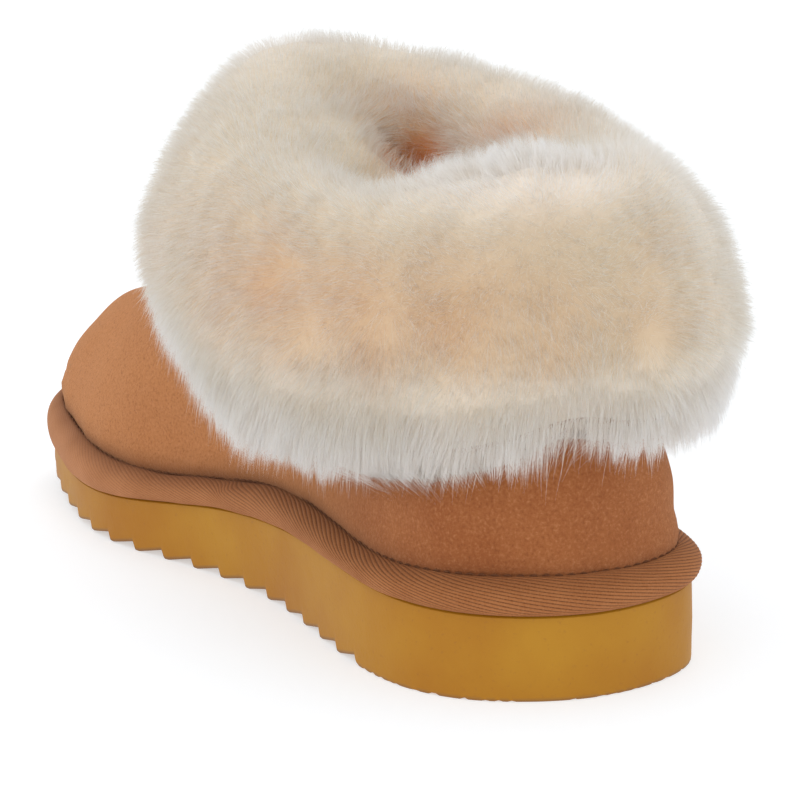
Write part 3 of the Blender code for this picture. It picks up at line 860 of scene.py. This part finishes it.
def upper_surface(shares, turns):
    """The upper's outer face: a ring for each share of the way from its foot to its collar."""
    collar, front, back, width, back_z, side_z, front_z = table_rows(RINGS, shares * (len(RINGS) - 1))
    edge, out = outline(turns)
    foot = edge - UPPER_INSET * out
    swing = math.tau * turns
    x = (1 - collar) * foot[:, 0] + collar * (COLLAR_CENTRE_X + COLLAR_HALF_WIDTH * np.sin(swing))
    middle = x.mean(axis=1, keepdims=True)
    x = middle + width * (x - middle)
    run = (foot[:, 1].max() - foot[:, 1]) / np.ptp(foot[:, 1])
    run = (1 - collar) * run + collar * (1 - np.cos(swing)) / 2
    seated = np.maximum(0.0, 1.0 - shares * (len(RINGS) - 1))[:, None]
    seat = sole_top(foot[:, 1]) + SEAT_GAP
    z = (1 - seated) * tilted(run, back_z, side_z, front_z) + seated * seat
    return np.stack([x, back + (front - back) * run, z], axis=-1)


def seam_height(turns):
    """The height of the seam between tape and suede."""
    edge, _ = outline(turns)
    turned = around(BINDING_TURN, turns)
    flat, turned_up = BINDING_SECTION[-1][2], BINDING_SECTION[-1][4]
    return sole_top(edge[:, 1]) + flat + (turned_up - flat) * turned


def suede_relief(points, turns):
    """How far the suede stands out of its plain form: the roll over the seam, creases and puckers."""
    above = points[..., 2] - seam_height(turns)
    relief = 1.5 * bell(above - 3.4, 3.0) + 0.9 * bell(above, 1.5)
    for _, turn, height, run_round, run_up, wide, tall, depth in CREASES:
        gap = np.maximum(np.abs(turns_from(turn, turns)) - run_round / 2, 0)
        lift = np.maximum(np.abs(points[..., 2] - height) - run_up / 2, 0)
        relief = relief - depth * bell(gap, wide) * bell(lift, tall)
    relief = relief + rough(points, (0.35, 24.0, 5), (0.12, 7.0, 6))
    puckers = rough(points * (1, 1, 0.15), (0.16, 3.4, 8)) * bell(above - 2.0, 3.5)
    return relief + puckers


def make_suede():
    """The suede upper: one wall with the roll and puckers of its seam and the soft creases of wear."""
    turns = np.arange(SUEDE_COLUMNS) / SUEDE_COLUMNS
    shares = np.linspace(0, 1, SUEDE_ROWS) ** 1.25
    plain = upper_surface(shares, turns)
    above = plain[..., 2] - seam_height(turns)
    relief = suede_relief(plain, turns) * smooth_step(above, -3.0, 0.0)
    outer = plain + relief[..., None] * grid_normals(plain)
    inner = upper_surface(np.linspace(0, 1, SUEDE_INNER_ROWS), turns)
    inside = inner - UPPER_WALL * grid_normals(inner)
    inside[[0, -1], :, 2] = inner[[0, -1], :, 2]
    suede = add_tube("suede_upper", np.concatenate([outer, inside[::-1]]), suede_finish())
    above = np.maximum(above, 0)
    # Painted shade in the seam's groove, darkest just above the tape.
    groove = (0.5 * bell(above, 3.8) + 0.2 * bell(above, 1.1)) * around(SEAM_SHADE, turns)
    # Painted light: the suede is paler towards the toe, where more light falls, and at the inner waist, where
    # the wool's overhang shades it.
    waist = 1.2 * bell(turns - 0.25, 0.06) * bell(plain[..., 2] - 36.0, 16.0)
    painted_light = np.clip(smooth_step(plain[..., 1], 10.0, -180.0) + waist, 0, 1)
    pad = np.zeros(inside.shape[:2])
    add_number(suede, "groove", np.concatenate([groove, pad]))
    add_number(suede, "painted_light", np.concatenate([painted_light, pad]))
    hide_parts("upper")
    return suede


# ---------------------------------------------------------------- lining
LINING_INSET = 0.4
LINING_PILE = 3.0
LINING_FOOT = 0.04
LINING_TOP = 0.84
LINING_ROWS = 44
LINING_COLUMNS = 160
INSOLE_TRIM = 0.6
INSOLE_MIDDLE_X = -4.0
INSOLE_REACH = 0.985
INSOLE_ROWS = 22
INSOLE_COLUMNS = 180


def make_lining():
    """The fleece inside the upper, from the insole up to the collar's wool."""
    turns = np.arange(LINING_COLUMNS) / LINING_COLUMNS
    plain = upper_surface(np.linspace(LINING_FOOT, LINING_TOP, LINING_ROWS), turns)
    out = grid_normals(plain)
    backs = plain - (UPPER_WALL + LINING_INSET) * out
    pile = LINING_PILE + rough(plain, (0.8, 4.0, 21), (0.5, 2.0, 22))
    rows = np.concatenate([backs - pile[..., None] * out, backs[::-4]])
    quads = tube_quads(*rows.shape[:2])[:, ::-1]
    lining = add_mesh("fleece_lining", rows, [quads], fleece_finish())


def make_insole():
    """The fleece footbed, in rings that close in on its middle line."""
    turns = np.arange(INSOLE_COLUMNS) / INSOLE_COLUMNS
    edge, out = outline(turns)
    edge = edge - (INSOLE_INSET + INSOLE_TRIM) * out
    middle_y = np.clip(edge[:, 1], TOE_Y + 40.0, HEEL_Y - 36.0)
    inwards = np.column_stack([np.full_like(middle_y, INSOLE_MIDDLE_X), middle_y]) - edge
    rows = [on_seat(edge)]
    for share in np.linspace(0, 1, INSOLE_ROWS):
        row = on_seat(edge + inwards * share * INSOLE_REACH, INSOLE_THICKNESS)
        row[:, 2] += rough(row, (0.35, 3.0, 31), (0.25, 1.6, 32)) - 1.4 * (1 - share) ** 6
        rows.append(row)
    rows.append(on_seat(edge + inwards * INSOLE_REACH))
    insole = add_tube("fleece_insole", np.array(rows), fleece_finish())
    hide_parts("insole")


# ---------------------------------------------------------------- wool
WOOL_LEVELS = 96
WOOL_COLUMNS = 240
LEDGE_ROWS = 10
UNDERCOAT_DEPTH = 2.9
UNDERCOAT_CLEAR = 0.6
HEM_LIFT = 5.0
STRAND_PIECES = 4
STRANDS_A_PIECE = 56000
STRAND_WIDTH = 0.08
# Where a strand's rows of points lie along it, and how thick it is there.
STRAND_STEPS = (0.0, 0.6, 1.0)
STRAND_GIRTH = (1.0, 0.8, 0.0)
ROOT_DEPTH = 5.5
LOW_ROOT_DEPTH = 2.2
STRAND_FALL = 0.08
# Strands nearer to the suede than its reach are kept clear of it by the clearance.
SUEDE_REACH = 12.0
SUEDE_CLEAR = 0.4
# How much denser the strands stand in the throat, at the hem and on the near rim than elsewhere.
THROAT_DENSITY = 1.5
HEM_DENSITY = 1.0
RIM_DENSITY = 1.4
# Levels at which the strands change: where a change begins and where it is complete.
ACROSS_LEVELS = (0.1, 0.0)
THROAT_LEVELS = (0.2, 0.05)
SHALLOW_LEVELS = (0.74, 0.94)
HANG_LEVELS = (0.78, 1.0)
HEM_LEVELS = (0.8, 0.98)
GATHER_LEVELS = (0.9, 1.0)
LEDGE_LEVELS = (0.97, 1.03)
# Lengths: the least at the fringe and the hem, and what chance or a place may add or take away.
FRINGE_LEAST = 2.5
FRINGE_MORE = 4.0
HEM_LEAST = 2.5
HEM_MORE = 5.0
CURTAIN_MORE = 11.0
THROAT_MORE = 3.0
PIT_LESS = 5.0
TIP_SPREAD = 0.9
LONG_TIPS = 4.5
LEDGE_LENGTHS = (4.0, 8.0)
# How strongly the strands sway by chance and hang down at the hem.
SWAY = 0.2
HANG = 2.0
SOFTENING = 24
HEM_ROUNDING = 14
HEM_ROUNDING_TOP = 0.8
CLUMPS = 2200
CLUMP_PULL = 0.15
BIG_CLUMPS = 260
BIG_CLUMP_PULL = 0.06
PIT = (-3.5, -54.0, 111.0)
PIT_RADIUS = 10.0
PIT_REACH = 9.0
PIT_DROP = 16.0
PIT_RIM = 1.4
FAR_WALL = ((-14.0, -72.0, 118.0), (-20.0, -32.0, 121.0))
FAR_WALL_REACH = 17.0
# Places round the wool: the near rim with its fringe, and the warm middle of its inner side.
RIM_TURN = 0.08
WARM_TURN = 0.17
# Random unevenness, as layers of height, size across and seed.
COAT_RELIEF = ((0.3, 12.0, 41), (0.2, 5.0, 42), (0.15, 2.5, 43))
DRIFT_DOWN = ((0.24, 24.0, 51), (0.12, 9.0, 52))
DRIFT_SIDE = ((0.26, 24.0, 53), (0.14, 9.0, 54))
TIP_RELIEF = ((0.7, 14.0, 55), (0.4, 6.0, 56))
# Broad dips and swells in the wool: where each lies, how far it reaches and how deep it is.
DIPS = (
    # dip, x, y, z, reach, depth
    ("near ridge at the pit", 21.0, -22.0, 127.0, 16.0, 7.5),
    ("rim tuft", 14.0, 24.0, 127.0, 9.0, -2.5),
    ("saddle at the pit", 12.0, -36.0, 121.0, 12.0, 11.5),
    ("near ridge at the front", 26.0, -50.0, 127.0, 14.0, 2.5),
    ("outer back shoulder", -31.0, 0.0, 132.0, 26.0, 4.0),
    ("inner front shoulder", 52.0, -112.0, 118.0, 24.0, 1.5),
    ("front hump", 8.0, -112.0, 140.0, 14.0, -2.2),
    ("front belly", 10.0, -146.0, 116.0, 22.0, 1.4),
    ("inner back shoulder", -36.0, 40.0, 112.0, 18.0, 1.2),
)
# Places where the pile parts or whirls, and how far the strands lean away from each.
PARTS = (
    # parting or tuft, x, y, z, radius, spread, extra length
    ("whorl", 57.0, 14.0, 97.0, 15.0, 0.9, 0.0),
    ("small whorl", 60.0, -8.0, 88.0, 10.0, 0.6, 0.0),
    ("crease", 60.0, -20.0, 104.0, 8.0, 0.7, 0.0),
    ("front dimple", 40.0, -120.0, 110.0, 12.0, 0.5, 0.0),
    ("outer whorl", -66.0, -40.0, 96.0, 14.0, 0.8, 0.0),
    ("heel part", 0.0, 60.0, 92.0, 12.0, 0.6, 0.0),
    ("rim tuft", 14.0, 23.0, 126.0, 7.0, 0.7, 5.0),
    ("small rim tuft", 21.0, 11.0, 125.0, 5.0, 0.7, 3.5),
    ("heel rim tuft", 5.0, 33.0, 126.0, 6.0, 0.6, 3.0),
    ("front rim tuft", 24.0, -34.0, 124.0, 5.0, 0.6, 2.5),
    ("crown tuft", 0.0, -118.0, 139.0, 9.0, 0.6, 3.0),
)
# Places where the wool's hem rides higher or lower than its ring.
LIFTS = (
    # place, x, y, z, reach, rise
    ("inner ball", 46.0, -92.0, 60.0, 24.0, 9.5),
    ("inner waist", 48.0, -54.0, 56.0, 20.0, -2.5),
    ("outer heel", -38.0, 36.0, 64.0, 18.0, 7.0),
)
# The hem is parted above the heel's inner side: where, how wide, from which level down, and how far
# it is drawn aside. Its foot on the suede rises there.
HEM_PART = 0.05
HEM_PART_WIDTH = 0.02
HEM_PART_TOP = 0.79
HEM_PART_REACH = (-1.5, -4.5, 6.0)
FOOT_PART = 0.026
FOOT_PART_WIDTH = 0.022
FOOT_PART_RISE = 0.05
# How far the pile lies over towards the hem, level by level from the throat.
DROOP = ((0.0, -0.35), (0.15, -0.1), (0.3, 0.05), (0.5, 0.2), (0.75, 0.4), (1.1, 0.6))


def wool_surface():
    """The wool's face from the throat over the crest to the hem, then its ledge back to the suede."""
    turns = np.arange(WOOL_COLUMNS) / WOOL_COLUMNS
    swing = math.tau * turns
    run = (1 - np.cos(swing)) / 2
    at = np.linspace(0, len(CUFF_RINGS) - 1, WOOL_LEVELS)
    front, back, half_width, lean, *heights = table_rows(CUFF_RINGS, at)
    more_front, more_back, more_width, *more_heights = table_rows(FLUFF, at)
    front, back, half_width = front + more_front, back + more_back, half_width + more_width
    heights = [height + more for height, more in zip(heights, more_heights)]
    x = CUFF_CENTRE_X + half_width * np.sin(swing)
    z = tilted(run, *heights) - lean * np.sin(swing)
    rings = np.stack([x, back + (front - back) * run, z], axis=-1)
    out = -grid_normals(rings)
    for _, x, y, z, reach, depth in DIPS:
        rings = rings - (depth * blob(rings, (x, y, z), reach))[..., None] * out
    plan = np.hypot(rings[..., 0] - PIT[0], rings[..., 1] - PIT[1])
    rings[..., 2] -= PIT_DROP * bell(plan, PIT_REACH) * smooth_step(at[:, None], PIT_RIM, 0.0)
    levels = wool_levels(WOOL_LEVELS)
    low = smooth_step(levels, 0.6, 0.85)
    for _, x, y, z, reach, rise in LIFTS:
        rings[..., 2] += rise * low * blob(rings, (x, y, z), reach)
    rings = rings + part_of_hem(levels, turns)[..., None] * np.array(HEM_PART_REACH)
    shares = np.linspace(0, 1, LEDGE_ROWS + 1)[1:, None, None]
    ledge = rings[-1] + (hem_on_suede(turns, 1.0, 1.0) - rings[-1]) * shares
    rings = np.concatenate([rings, ledge])
    start = int(HEM_ROUNDING_TOP * WOOL_LEVELS)
    for _ in range(HEM_ROUNDING):
        rings[start:-1] = (rings[start - 1 : -2] + rings[start:-1] + rings[start + 1 :]) / 3
        low = rings[start:-1]
        rings[start:-1] = (np.roll(low, 1, axis=1) + low + np.roll(low, -1, axis=1)) / 3
    return turns, rings


def wool_levels(rows):
    """The wool's level at each row, as a column array: 0 at the throat, 1 at the hem, more on the ledge."""
    return np.arange(rows)[:, None] / (WOOL_LEVELS - 1)


def near_rim(level, turn):
    """1 on top of the rim above the heel's inner side, where a tall white fringe stands, and 0 elsewhere."""
    return bell(level - 0.26, 0.05) * bell(turns_from(RIM_TURN, turn), 0.09)


def part_of_hem(level, turn):
    """Where the wool's hem is parted above the heel's inner side: 0 whole, 1 wide open."""
    return smooth_step(level, HEM_PART_TOP, 1.0) * bell(turns_from(HEM_PART, turn), HEM_PART_WIDTH)


def hem_on_suede(turns, clear, lower):
    """Points on the suede at the wool's hem, a little clear of it and lower by a distance."""
    hem = around(HEM_LINE, turns) + FOOT_PART_RISE * bell(turns_from(FOOT_PART, turns), FOOT_PART_WIDTH)
    grid = upper_surface(np.linspace(0, 1, FINE_SHARES), turns + around(HEM_SHIFT, turns))
    columns = np.arange(len(turns))
    spots = hem * (FINE_SHARES - 1)
    low = np.minimum(spots.astype(int), FINE_SHARES - 2)
    way = unit(grid[low, columns] - grid[low + 1, columns])
    return sample(grid, spots, columns) + clear * grid_normals(grid)[low, columns] + lower * way


def make_undercoat(turns, rings):
    """The dense wool under the tips, which also lines the collar."""
    levels = wool_levels(len(rings))
    depth = UNDERCOAT_DEPTH + rough(rings, *COAT_RELIEF)
    depth = depth + smooth_step(levels, 0.88, 0.98) * (1 - part_of_hem(levels, turns))
    face = rings + depth[..., None] * grid_normals(rings)
    foot = hem_on_suede(turns, UNDERCOAT_CLEAR, -HEM_LIFT)
    settle = smooth_step(np.arange(len(rings)), WOOL_LEVELS, len(rings) - 1)[:, None, None]
    face = face + (foot - face) * settle
    shell = upper_surface(np.linspace(0.72, 0.99, 6), turns)
    shell = shell + UNDERCOAT_CLEAR * grid_normals(shell)
    # The last rows go over the collar's edge and back down inside it.
    collar = upper_surface(np.array([0.86, 0.93, 1.0]), turns)
    collar_out = grid_normals(collar)
    closing = []
    for row, clear in ((2, 0.6), (2, -UPPER_WALL - 0.6), (0, -UPPER_WALL - 0.6), (0, -UPPER_WALL - 8.0)):
        closing.append(collar[row] + clear * collar_out[row])
        if row == 2:
            closing[-1][:, 2] = collar[row, :, 2] + 0.7
    rows = np.concatenate([face, shell, closing])
    coat = add_tube("wool_undercoat", rows, undercoat_finish())
    levels = wool_levels(len(rows))
    # Painted shade: deep is 1 at the pit and inside the collar, which the finish paints orange.
    deep = blob(rows, PIT, PIT_RADIUS)
    cool = paleness(levels, turns)
    deep[-len(closing) :] = 1.0
    cool[-len(closing) :] = 0.0
    add_number(coat, "deep", deep)
    add_number(coat, "warm", warmth(rows, levels, turns))
    add_number(coat, "cool", cool)
    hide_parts("cuff")


def warmth(spots, level, turn):
    """How warm the wool is, 0 pale to 1 warm: half way down its inner side, and on the far wall."""
    belly = bell(level - 0.65, 0.19) * (0.28 + 0.72 * bell(turns_from(WARM_TURN, turn), 0.13))
    far_wall = sum(blob(spots, centre, FAR_WALL_REACH) for centre in FAR_WALL)
    patches = belly * (0.64 + rough(spots, (0.24, 30.0, 61))) + rough(spots, (0.08, 10.0, 62))
    return np.clip(patches + far_wall, 0, 1)


def paleness(level, turn):
    """How pale the wool is, 0 cream to 1 white: at the hem, and along the crest and away from the inner side,
    where the white is partly the tips' own and partly painted rim light.
    """
    crest = 0.9 * bell(level - 0.33, 0.09) * bell(turns_from(0.07, turn), 0.13)
    away = 0.3 * smooth_step(np.abs(turns_from(WARM_TURN, turn)), 0.18, 0.27) * smooth_step(level, 0.15, 0.25)
    return np.clip(smooth_step(level, 0.7, 0.96) + crest + away, 0, 1)


def scatter(rings, count, rng, weight):
    """Random spots on the wool's face, as level and place, spread by area and weight."""
    down = rings[1:] - rings[:-1]
    across = np.roll(rings, -1, axis=1) - rings
    area = np.linalg.norm(np.cross(down, across[:-1]), axis=-1) * weight[:-1]
    chosen = rng.choice(area.size, size=count, p=(area / area.sum()).ravel())
    row, col = np.divmod(chosen, area.shape[1])
    return row + rng.random(count), col + rng.random(count)


def softened(directions):
    """Directions averaged with the rows beside them, so that sharp turns become round."""
    padded = np.concatenate([directions[:1], directions, directions[-1:]])
    return unit(padded[:-2] + padded[1:-1] + padded[2:])


def sample(grid, row, col):
    """A grid read between its points."""
    columns = grid.shape[1]
    low = np.minimum(row.astype(int), len(grid) - 2)
    part = (row - low)[:, None]
    left = col.astype(int) % columns
    right = (left + 1) % columns
    side = (col - np.floor(col))[:, None]
    first = (1 - side) * grid[low, left] + side * grid[low, right]
    second = (1 - side) * grid[low + 1, left] + side * grid[low + 1, right]
    return (1 - part) * first + part * second


def strand_field(rings, row, col, rng):
    """Root, direction, length, tone, way out and strength of clumping of strands at spots on the wool."""
    count = len(row)
    level = row / (WOOL_LEVELS - 1)
    turn = col / WOOL_COLUMNS
    out_grid = -grid_normals(rings)
    down_grid = unit(np.gradient(rings, axis=0))
    for _ in range(SOFTENING):
        out_grid = softened(out_grid)
        down_grid = softened(down_grid)
    spot = sample(rings, row, col)
    out = unit(sample(out_grid, row, col))
    down = unit(sample(down_grid, row, col))
    pit = blob(spot, PIT, PIT_RADIUS)
    curtain = part_of_hem(level, turn)
    fringe = near_rim(level, turn)
    # Round the throat, away from the pit, the strands lean across and close over it.
    across = smooth_step(level, *ACROSS_LEVELS) * (1 - blob(spot, PIT, 1.5 * PIT_RADIUS))
    sway = rng.normal(0, SWAY, (count, 2))
    droop = np.interp(level, column(DROOP, 0), column(DROOP, 1)) - across
    lean_down = droop + rough(spot, *DRIFT_DOWN) + sway[:, 0]
    lean_side = rough(spot, *DRIFT_SIDE) + sway[:, 1]
    way = out + lean_down[:, None] * down + lean_side[:, None] * np.cross(out, down)
    extra = np.zeros(count)
    for _, x, y, z, radius, strength, more in PARTS:
        away = spot - (x, y, z)
        gap = np.linalg.norm(away, axis=1)
        push = strength * bell(gap, radius) * np.clip(gap / (0.25 * radius), 0, 1)
        way += push[:, None] * unit(away)
        extra += more * bell(gap, radius)
    way[:, 2] -= HANG * smooth_step(level, *HANG_LEVELS) + curtain
    way = unit(way)
    depth = ROOT_DEPTH + (LOW_ROOT_DEPTH - ROOT_DEPTH) * smooth_step(level, *SHALLOW_LEVELS)
    rise = depth + rough(spot, *TIP_RELIEF)
    rise += np.abs(rng.normal(0, TIP_SPREAD, count)) + LONG_TIPS * rng.random(count) ** 5
    length = rise / np.clip(np.einsum("ij,ij->i", way, out), 0.4, 1.0)
    length += fringe * (FRINGE_LEAST + FRINGE_MORE * rng.random(count) ** 2)
    length += extra * rng.uniform(0.4, 1.0, count)
    length += smooth_step(level, *THROAT_LEVELS) * (THROAT_MORE - PIT_LESS * pit) + THROAT_MORE * across
    hem_length = HEM_LEAST + HEM_MORE * rng.random(count) + rough(spot, (1.8, 8.0, 57))
    length += smooth_step(level, *HEM_LEVELS) * hem_length + CURTAIN_MORE * curtain * rng.random(count) ** 3
    # On the ledge, the strands hang down and are all much the same length.
    length += (rng.uniform(*LEDGE_LENGTHS, count) - length) * smooth_step(level, *LEDGE_LEVELS)
    # The pit's strands take the deep tones, painted warm shade of the recess.
    tone = 0.78 - 0.55 * warmth(spot, level, turn) + rng.normal(0, 0.05, count)
    # Paleness, partly painted rim light along the crest and on the far sides, makes the tips whiter.
    tone += 0.22 * paleness(level, turn) + 0.3 * fringe + 0.1 * extra - 1.7 * pit
    gather = 1.0 + 2.0 * smooth_step(level, *GATHER_LEVELS) + 3.0 * fringe
    return spot - depth[:, None] * out, way, length, np.clip(tone, 0.02, 0.98), out, gather


def pull_together(tips, centres, pull, rng):
    """How far each tip moves when it is drawn towards the middle of its clump."""
    tree = KDTree(len(centres))
    for index, centre in enumerate(centres):
        tree.insert(centre, index)
    tree.balance()
    nearest = np.array([tree.find(tip)[1] for tip in tips])
    sums = np.zeros((len(centres), 3))
    np.add.at(sums, nearest, tips)
    counts = np.bincount(nearest, minlength=len(centres))[:, None]
    middles = sums / np.maximum(counts, 1)
    strength = pull * rng.uniform(0.5, 1.5, len(centres))[nearest]
    return (middles[nearest] - tips) * strength[:, None]


def strand_cores(root, way, length, bend):
    """The middle line of each strand."""
    steps = np.array(STRAND_STEPS)[:, None]
    return root[:, None] + steps * (length[:, None] * way)[:, None] + steps**2 * bend[:, None]


def strand_ribbons(cores, way, out, rng):
    """Ribbons along strands, two points a step and one at the tip, each turned its own way."""
    flat = unit(np.cross(way, out))
    face = np.cross(flat, way)
    spin = rng.uniform(0, math.pi, len(cores))[:, None]
    side = flat * np.cos(spin) + face * np.sin(spin)
    points = []
    for index, girth in enumerate(STRAND_GIRTH):
        offset = 0.5 * STRAND_WIDTH * girth * side
        points += [cores[:, index] - offset, cores[:, index] + offset] if girth else [cores[:, index]]
    return np.stack(points, axis=1)


def add_strands(name, points, tone, finish):
    """One piece of many strands, with the map that carries their tone and run."""
    count, per = points.shape[:2]
    base = (np.arange(count) * per)[:, None]
    quads = base + np.array([[0, 1, 3, 2]])
    tips = base + np.array([[2, 3, 4]])
    piece = add_mesh(name, points, [quads, tips], finish)
    along = np.tile(np.repeat(STRAND_STEPS, 2)[:per], count)
    tones = np.repeat(tone, per)
    corners = np.concatenate([quads.ravel(), tips.ravel()])
    layer = piece.data.uv_layers.new(name="OFBake")
    pairs = np.stack([tones[corners], np.clip(along[corners], 0.01, 0.99)], axis=1).astype(np.float32)
    layer.data.foreach_set("uv", pairs.ravel())
    return piece


def keep_clear(points, tree):
    """The points of low strands, moved out of the suede where they dip into it."""
    flat = points.reshape(-1, 3)
    for index, point in enumerate(flat):
        near, normal, _, gap = tree.find_nearest(Vector(point * MM))
        if near is None or gap > SUEDE_REACH * MM:
            continue
        inside = (Vector(point * MM) - near).dot(normal)
        if inside < SUEDE_CLEAR * MM:
            flat[index] = np.array(near + normal * SUEDE_CLEAR * MM) / MM
    return flat.reshape(points.shape)


def strand_density(rings, turns):
    """How densely strands stand at each point of the wool's face."""
    levels = wool_levels(len(rings))
    weight = np.ones(rings.shape[:2])
    weight[: WOOL_LEVELS // 6] = THROAT_DENSITY
    weight *= 1 + HEM_DENSITY * smooth_step(levels, 0.8, 0.96) * smooth_step(levels, 1.08, 1.02)
    weight *= 1 + RIM_DENSITY * near_rim(levels, turns)
    return weight * (1 - 0.6 * part_of_hem(levels, turns))


def make_wool(suede):
    """The wool: an undercoat and pieces of loose strands in soft clumps."""
    turns, rings = wool_surface()
    make_undercoat(turns, rings)
    finish = wool_finish()
    rng = np.random.default_rng(2024)
    weight = strand_density(rings, turns)
    row, col = scatter(rings, STRANDS_A_PIECE * STRAND_PIECES, rng, weight)
    root, way, length, tone, out, gather = strand_field(rings, row, col, rng)
    fall = length[:, None] * (0.0, 0.0, -STRAND_FALL)
    tips = root + length[:, None] * way + fall
    centres = sample(rings, *scatter(rings, CLUMPS, rng, weight))
    big_centres = sample(rings, *scatter(rings, BIG_CLUMPS, rng, weight))
    small = gather[:, None] * pull_together(tips, centres, CLUMP_PULL, rng)
    big = pull_together(tips, big_centres, BIG_CLUMP_PULL, rng)
    cores = strand_cores(root, way, length, fall + small + big)
    mesh = suede.data
    faces = [tuple(face.vertices) for face in mesh.polygons]
    tree = BVHTree.FromPolygons([vertex.co.copy() for vertex in mesh.vertices], faces)
    low = row > 0.9 * WOOL_LEVELS
    cores[low, 1:] = keep_clear(cores[low, 1:], tree)
    points = strand_ribbons(cores, way, out, rng)
    for index in range(STRAND_PIECES):
        part = slice(index * STRANDS_A_PIECE, (index + 1) * STRANDS_A_PIECE)
        add_strands(f"wool_{index + 1}", points[part], tone[part], finish)


# ---------------------------------------------------------------- stage
FLOOR_REACH = 6.0
LIGHT_TARGET = (0.0, -0.08, 0.05)
LIGHTS = (
    # lamp, azimuth, elevation, distance in metres, size in metres, watts
    ("key", 85.0, 45.0, 1.6, 1.2, 0.7),
    ("top", 150.0, 80.0, 1.5, 1.4, 0.15),
    ("fill", 115.0, 9.0, 1.6, 1.1, 1.6),
    ("back", 330.0, 45.0, 1.6, 1.8, 1.8),
)


def make_floor():
    """A plain pale floor that runs out of view."""
    material = bpy.data.materials.new("floor")
    material.use_nodes = True
    inputs = material.node_tree.nodes["Principled BSDF"].inputs
    inputs["Base Color"].default_value = (0.58, 0.61, 0.64, 1.0)
    inputs["Roughness"].default_value = 0.9
    inputs["Specular IOR Level"].default_value = 0.1
    inputs["Emission Color"].default_value = (1.0, 1.0, 1.0, 1.0)
    inputs["Emission Strength"].default_value = 0.5
    mesh = bpy.data.meshes.new("floor")
    corners = [(FLOOR_REACH * x, FLOOR_REACH * y, 0) for x, y in ((-1, -1), (1, -1), (1, 1), (-1, 1))]
    mesh.from_pydata(corners, [], [(0, 1, 2, 3)])
    mesh.materials.append(material)
    add_object("floor", mesh)


def direction(azimuth, elevation):
    """The way from the shoe to a place round it and above; azimuth 0 is in front of the toe."""
    turn, rise = math.radians(azimuth), math.radians(elevation)
    return Vector((math.sin(turn) * math.cos(rise), -math.cos(turn) * math.cos(rise), math.sin(rise)))


def make_camera():
    """The camera, from behind the heel on the inner side, rolled as it was held."""
    turn, roll = math.radians(VIEW_AZIMUTH), math.radians(VIEW_ROLL)
    back = direction(VIEW_AZIMUTH, VIEW_ELEVATION)
    level = Vector((math.cos(turn), math.sin(turn), 0.0))
    rise = back.cross(level)
    right = level * math.cos(roll) + rise * math.sin(roll)
    up = rise * math.cos(roll) - level * math.sin(roll)
    data = bpy.data.cameras.new("camera")
    data.lens = VIEW_LENS
    data.sensor_width = SENSOR
    data.clip_start = 0.05
    camera = add_object("camera", data)
    place = (Vector(VIEW_TARGET) + back * VIEW_DISTANCE) * MM
    camera.matrix_world = Matrix.Translation(place) @ Matrix((right, up, back)).transposed().to_4x4()
    bpy.context.scene.camera = camera


def make_light():
    """White surroundings and soft square lamps that look at the shoe."""
    world = bpy.data.worlds.new("surroundings")
    world.use_nodes = True
    background = world.node_tree.nodes["Background"]
    background.inputs["Color"].default_value = (1.0, 1.0, 1.0, 1.0)
    background.inputs["Strength"].default_value = 1.0
    bpy.context.scene.world = world
    bpy.context.scene.view_settings.view_transform = "Standard"
    for name, azimuth, elevation, distance, size, watts in LIGHTS:
        away = direction(azimuth, elevation)
        data = bpy.data.lights.new(name, "AREA")
        data.size = size
        data.energy = watts
        lamp = add_object(name, data)
        lamp.location = Vector(LIGHT_TARGET) + away * distance
        lamp.rotation_euler = away.to_track_quat("Z", "Y").to_euler()


make_camera()
make_floor()
make_light()
make_sole()
make_tape()
make_stitches()
suede = make_suede()
make_lining()
make_insole()
make_wool(suede)
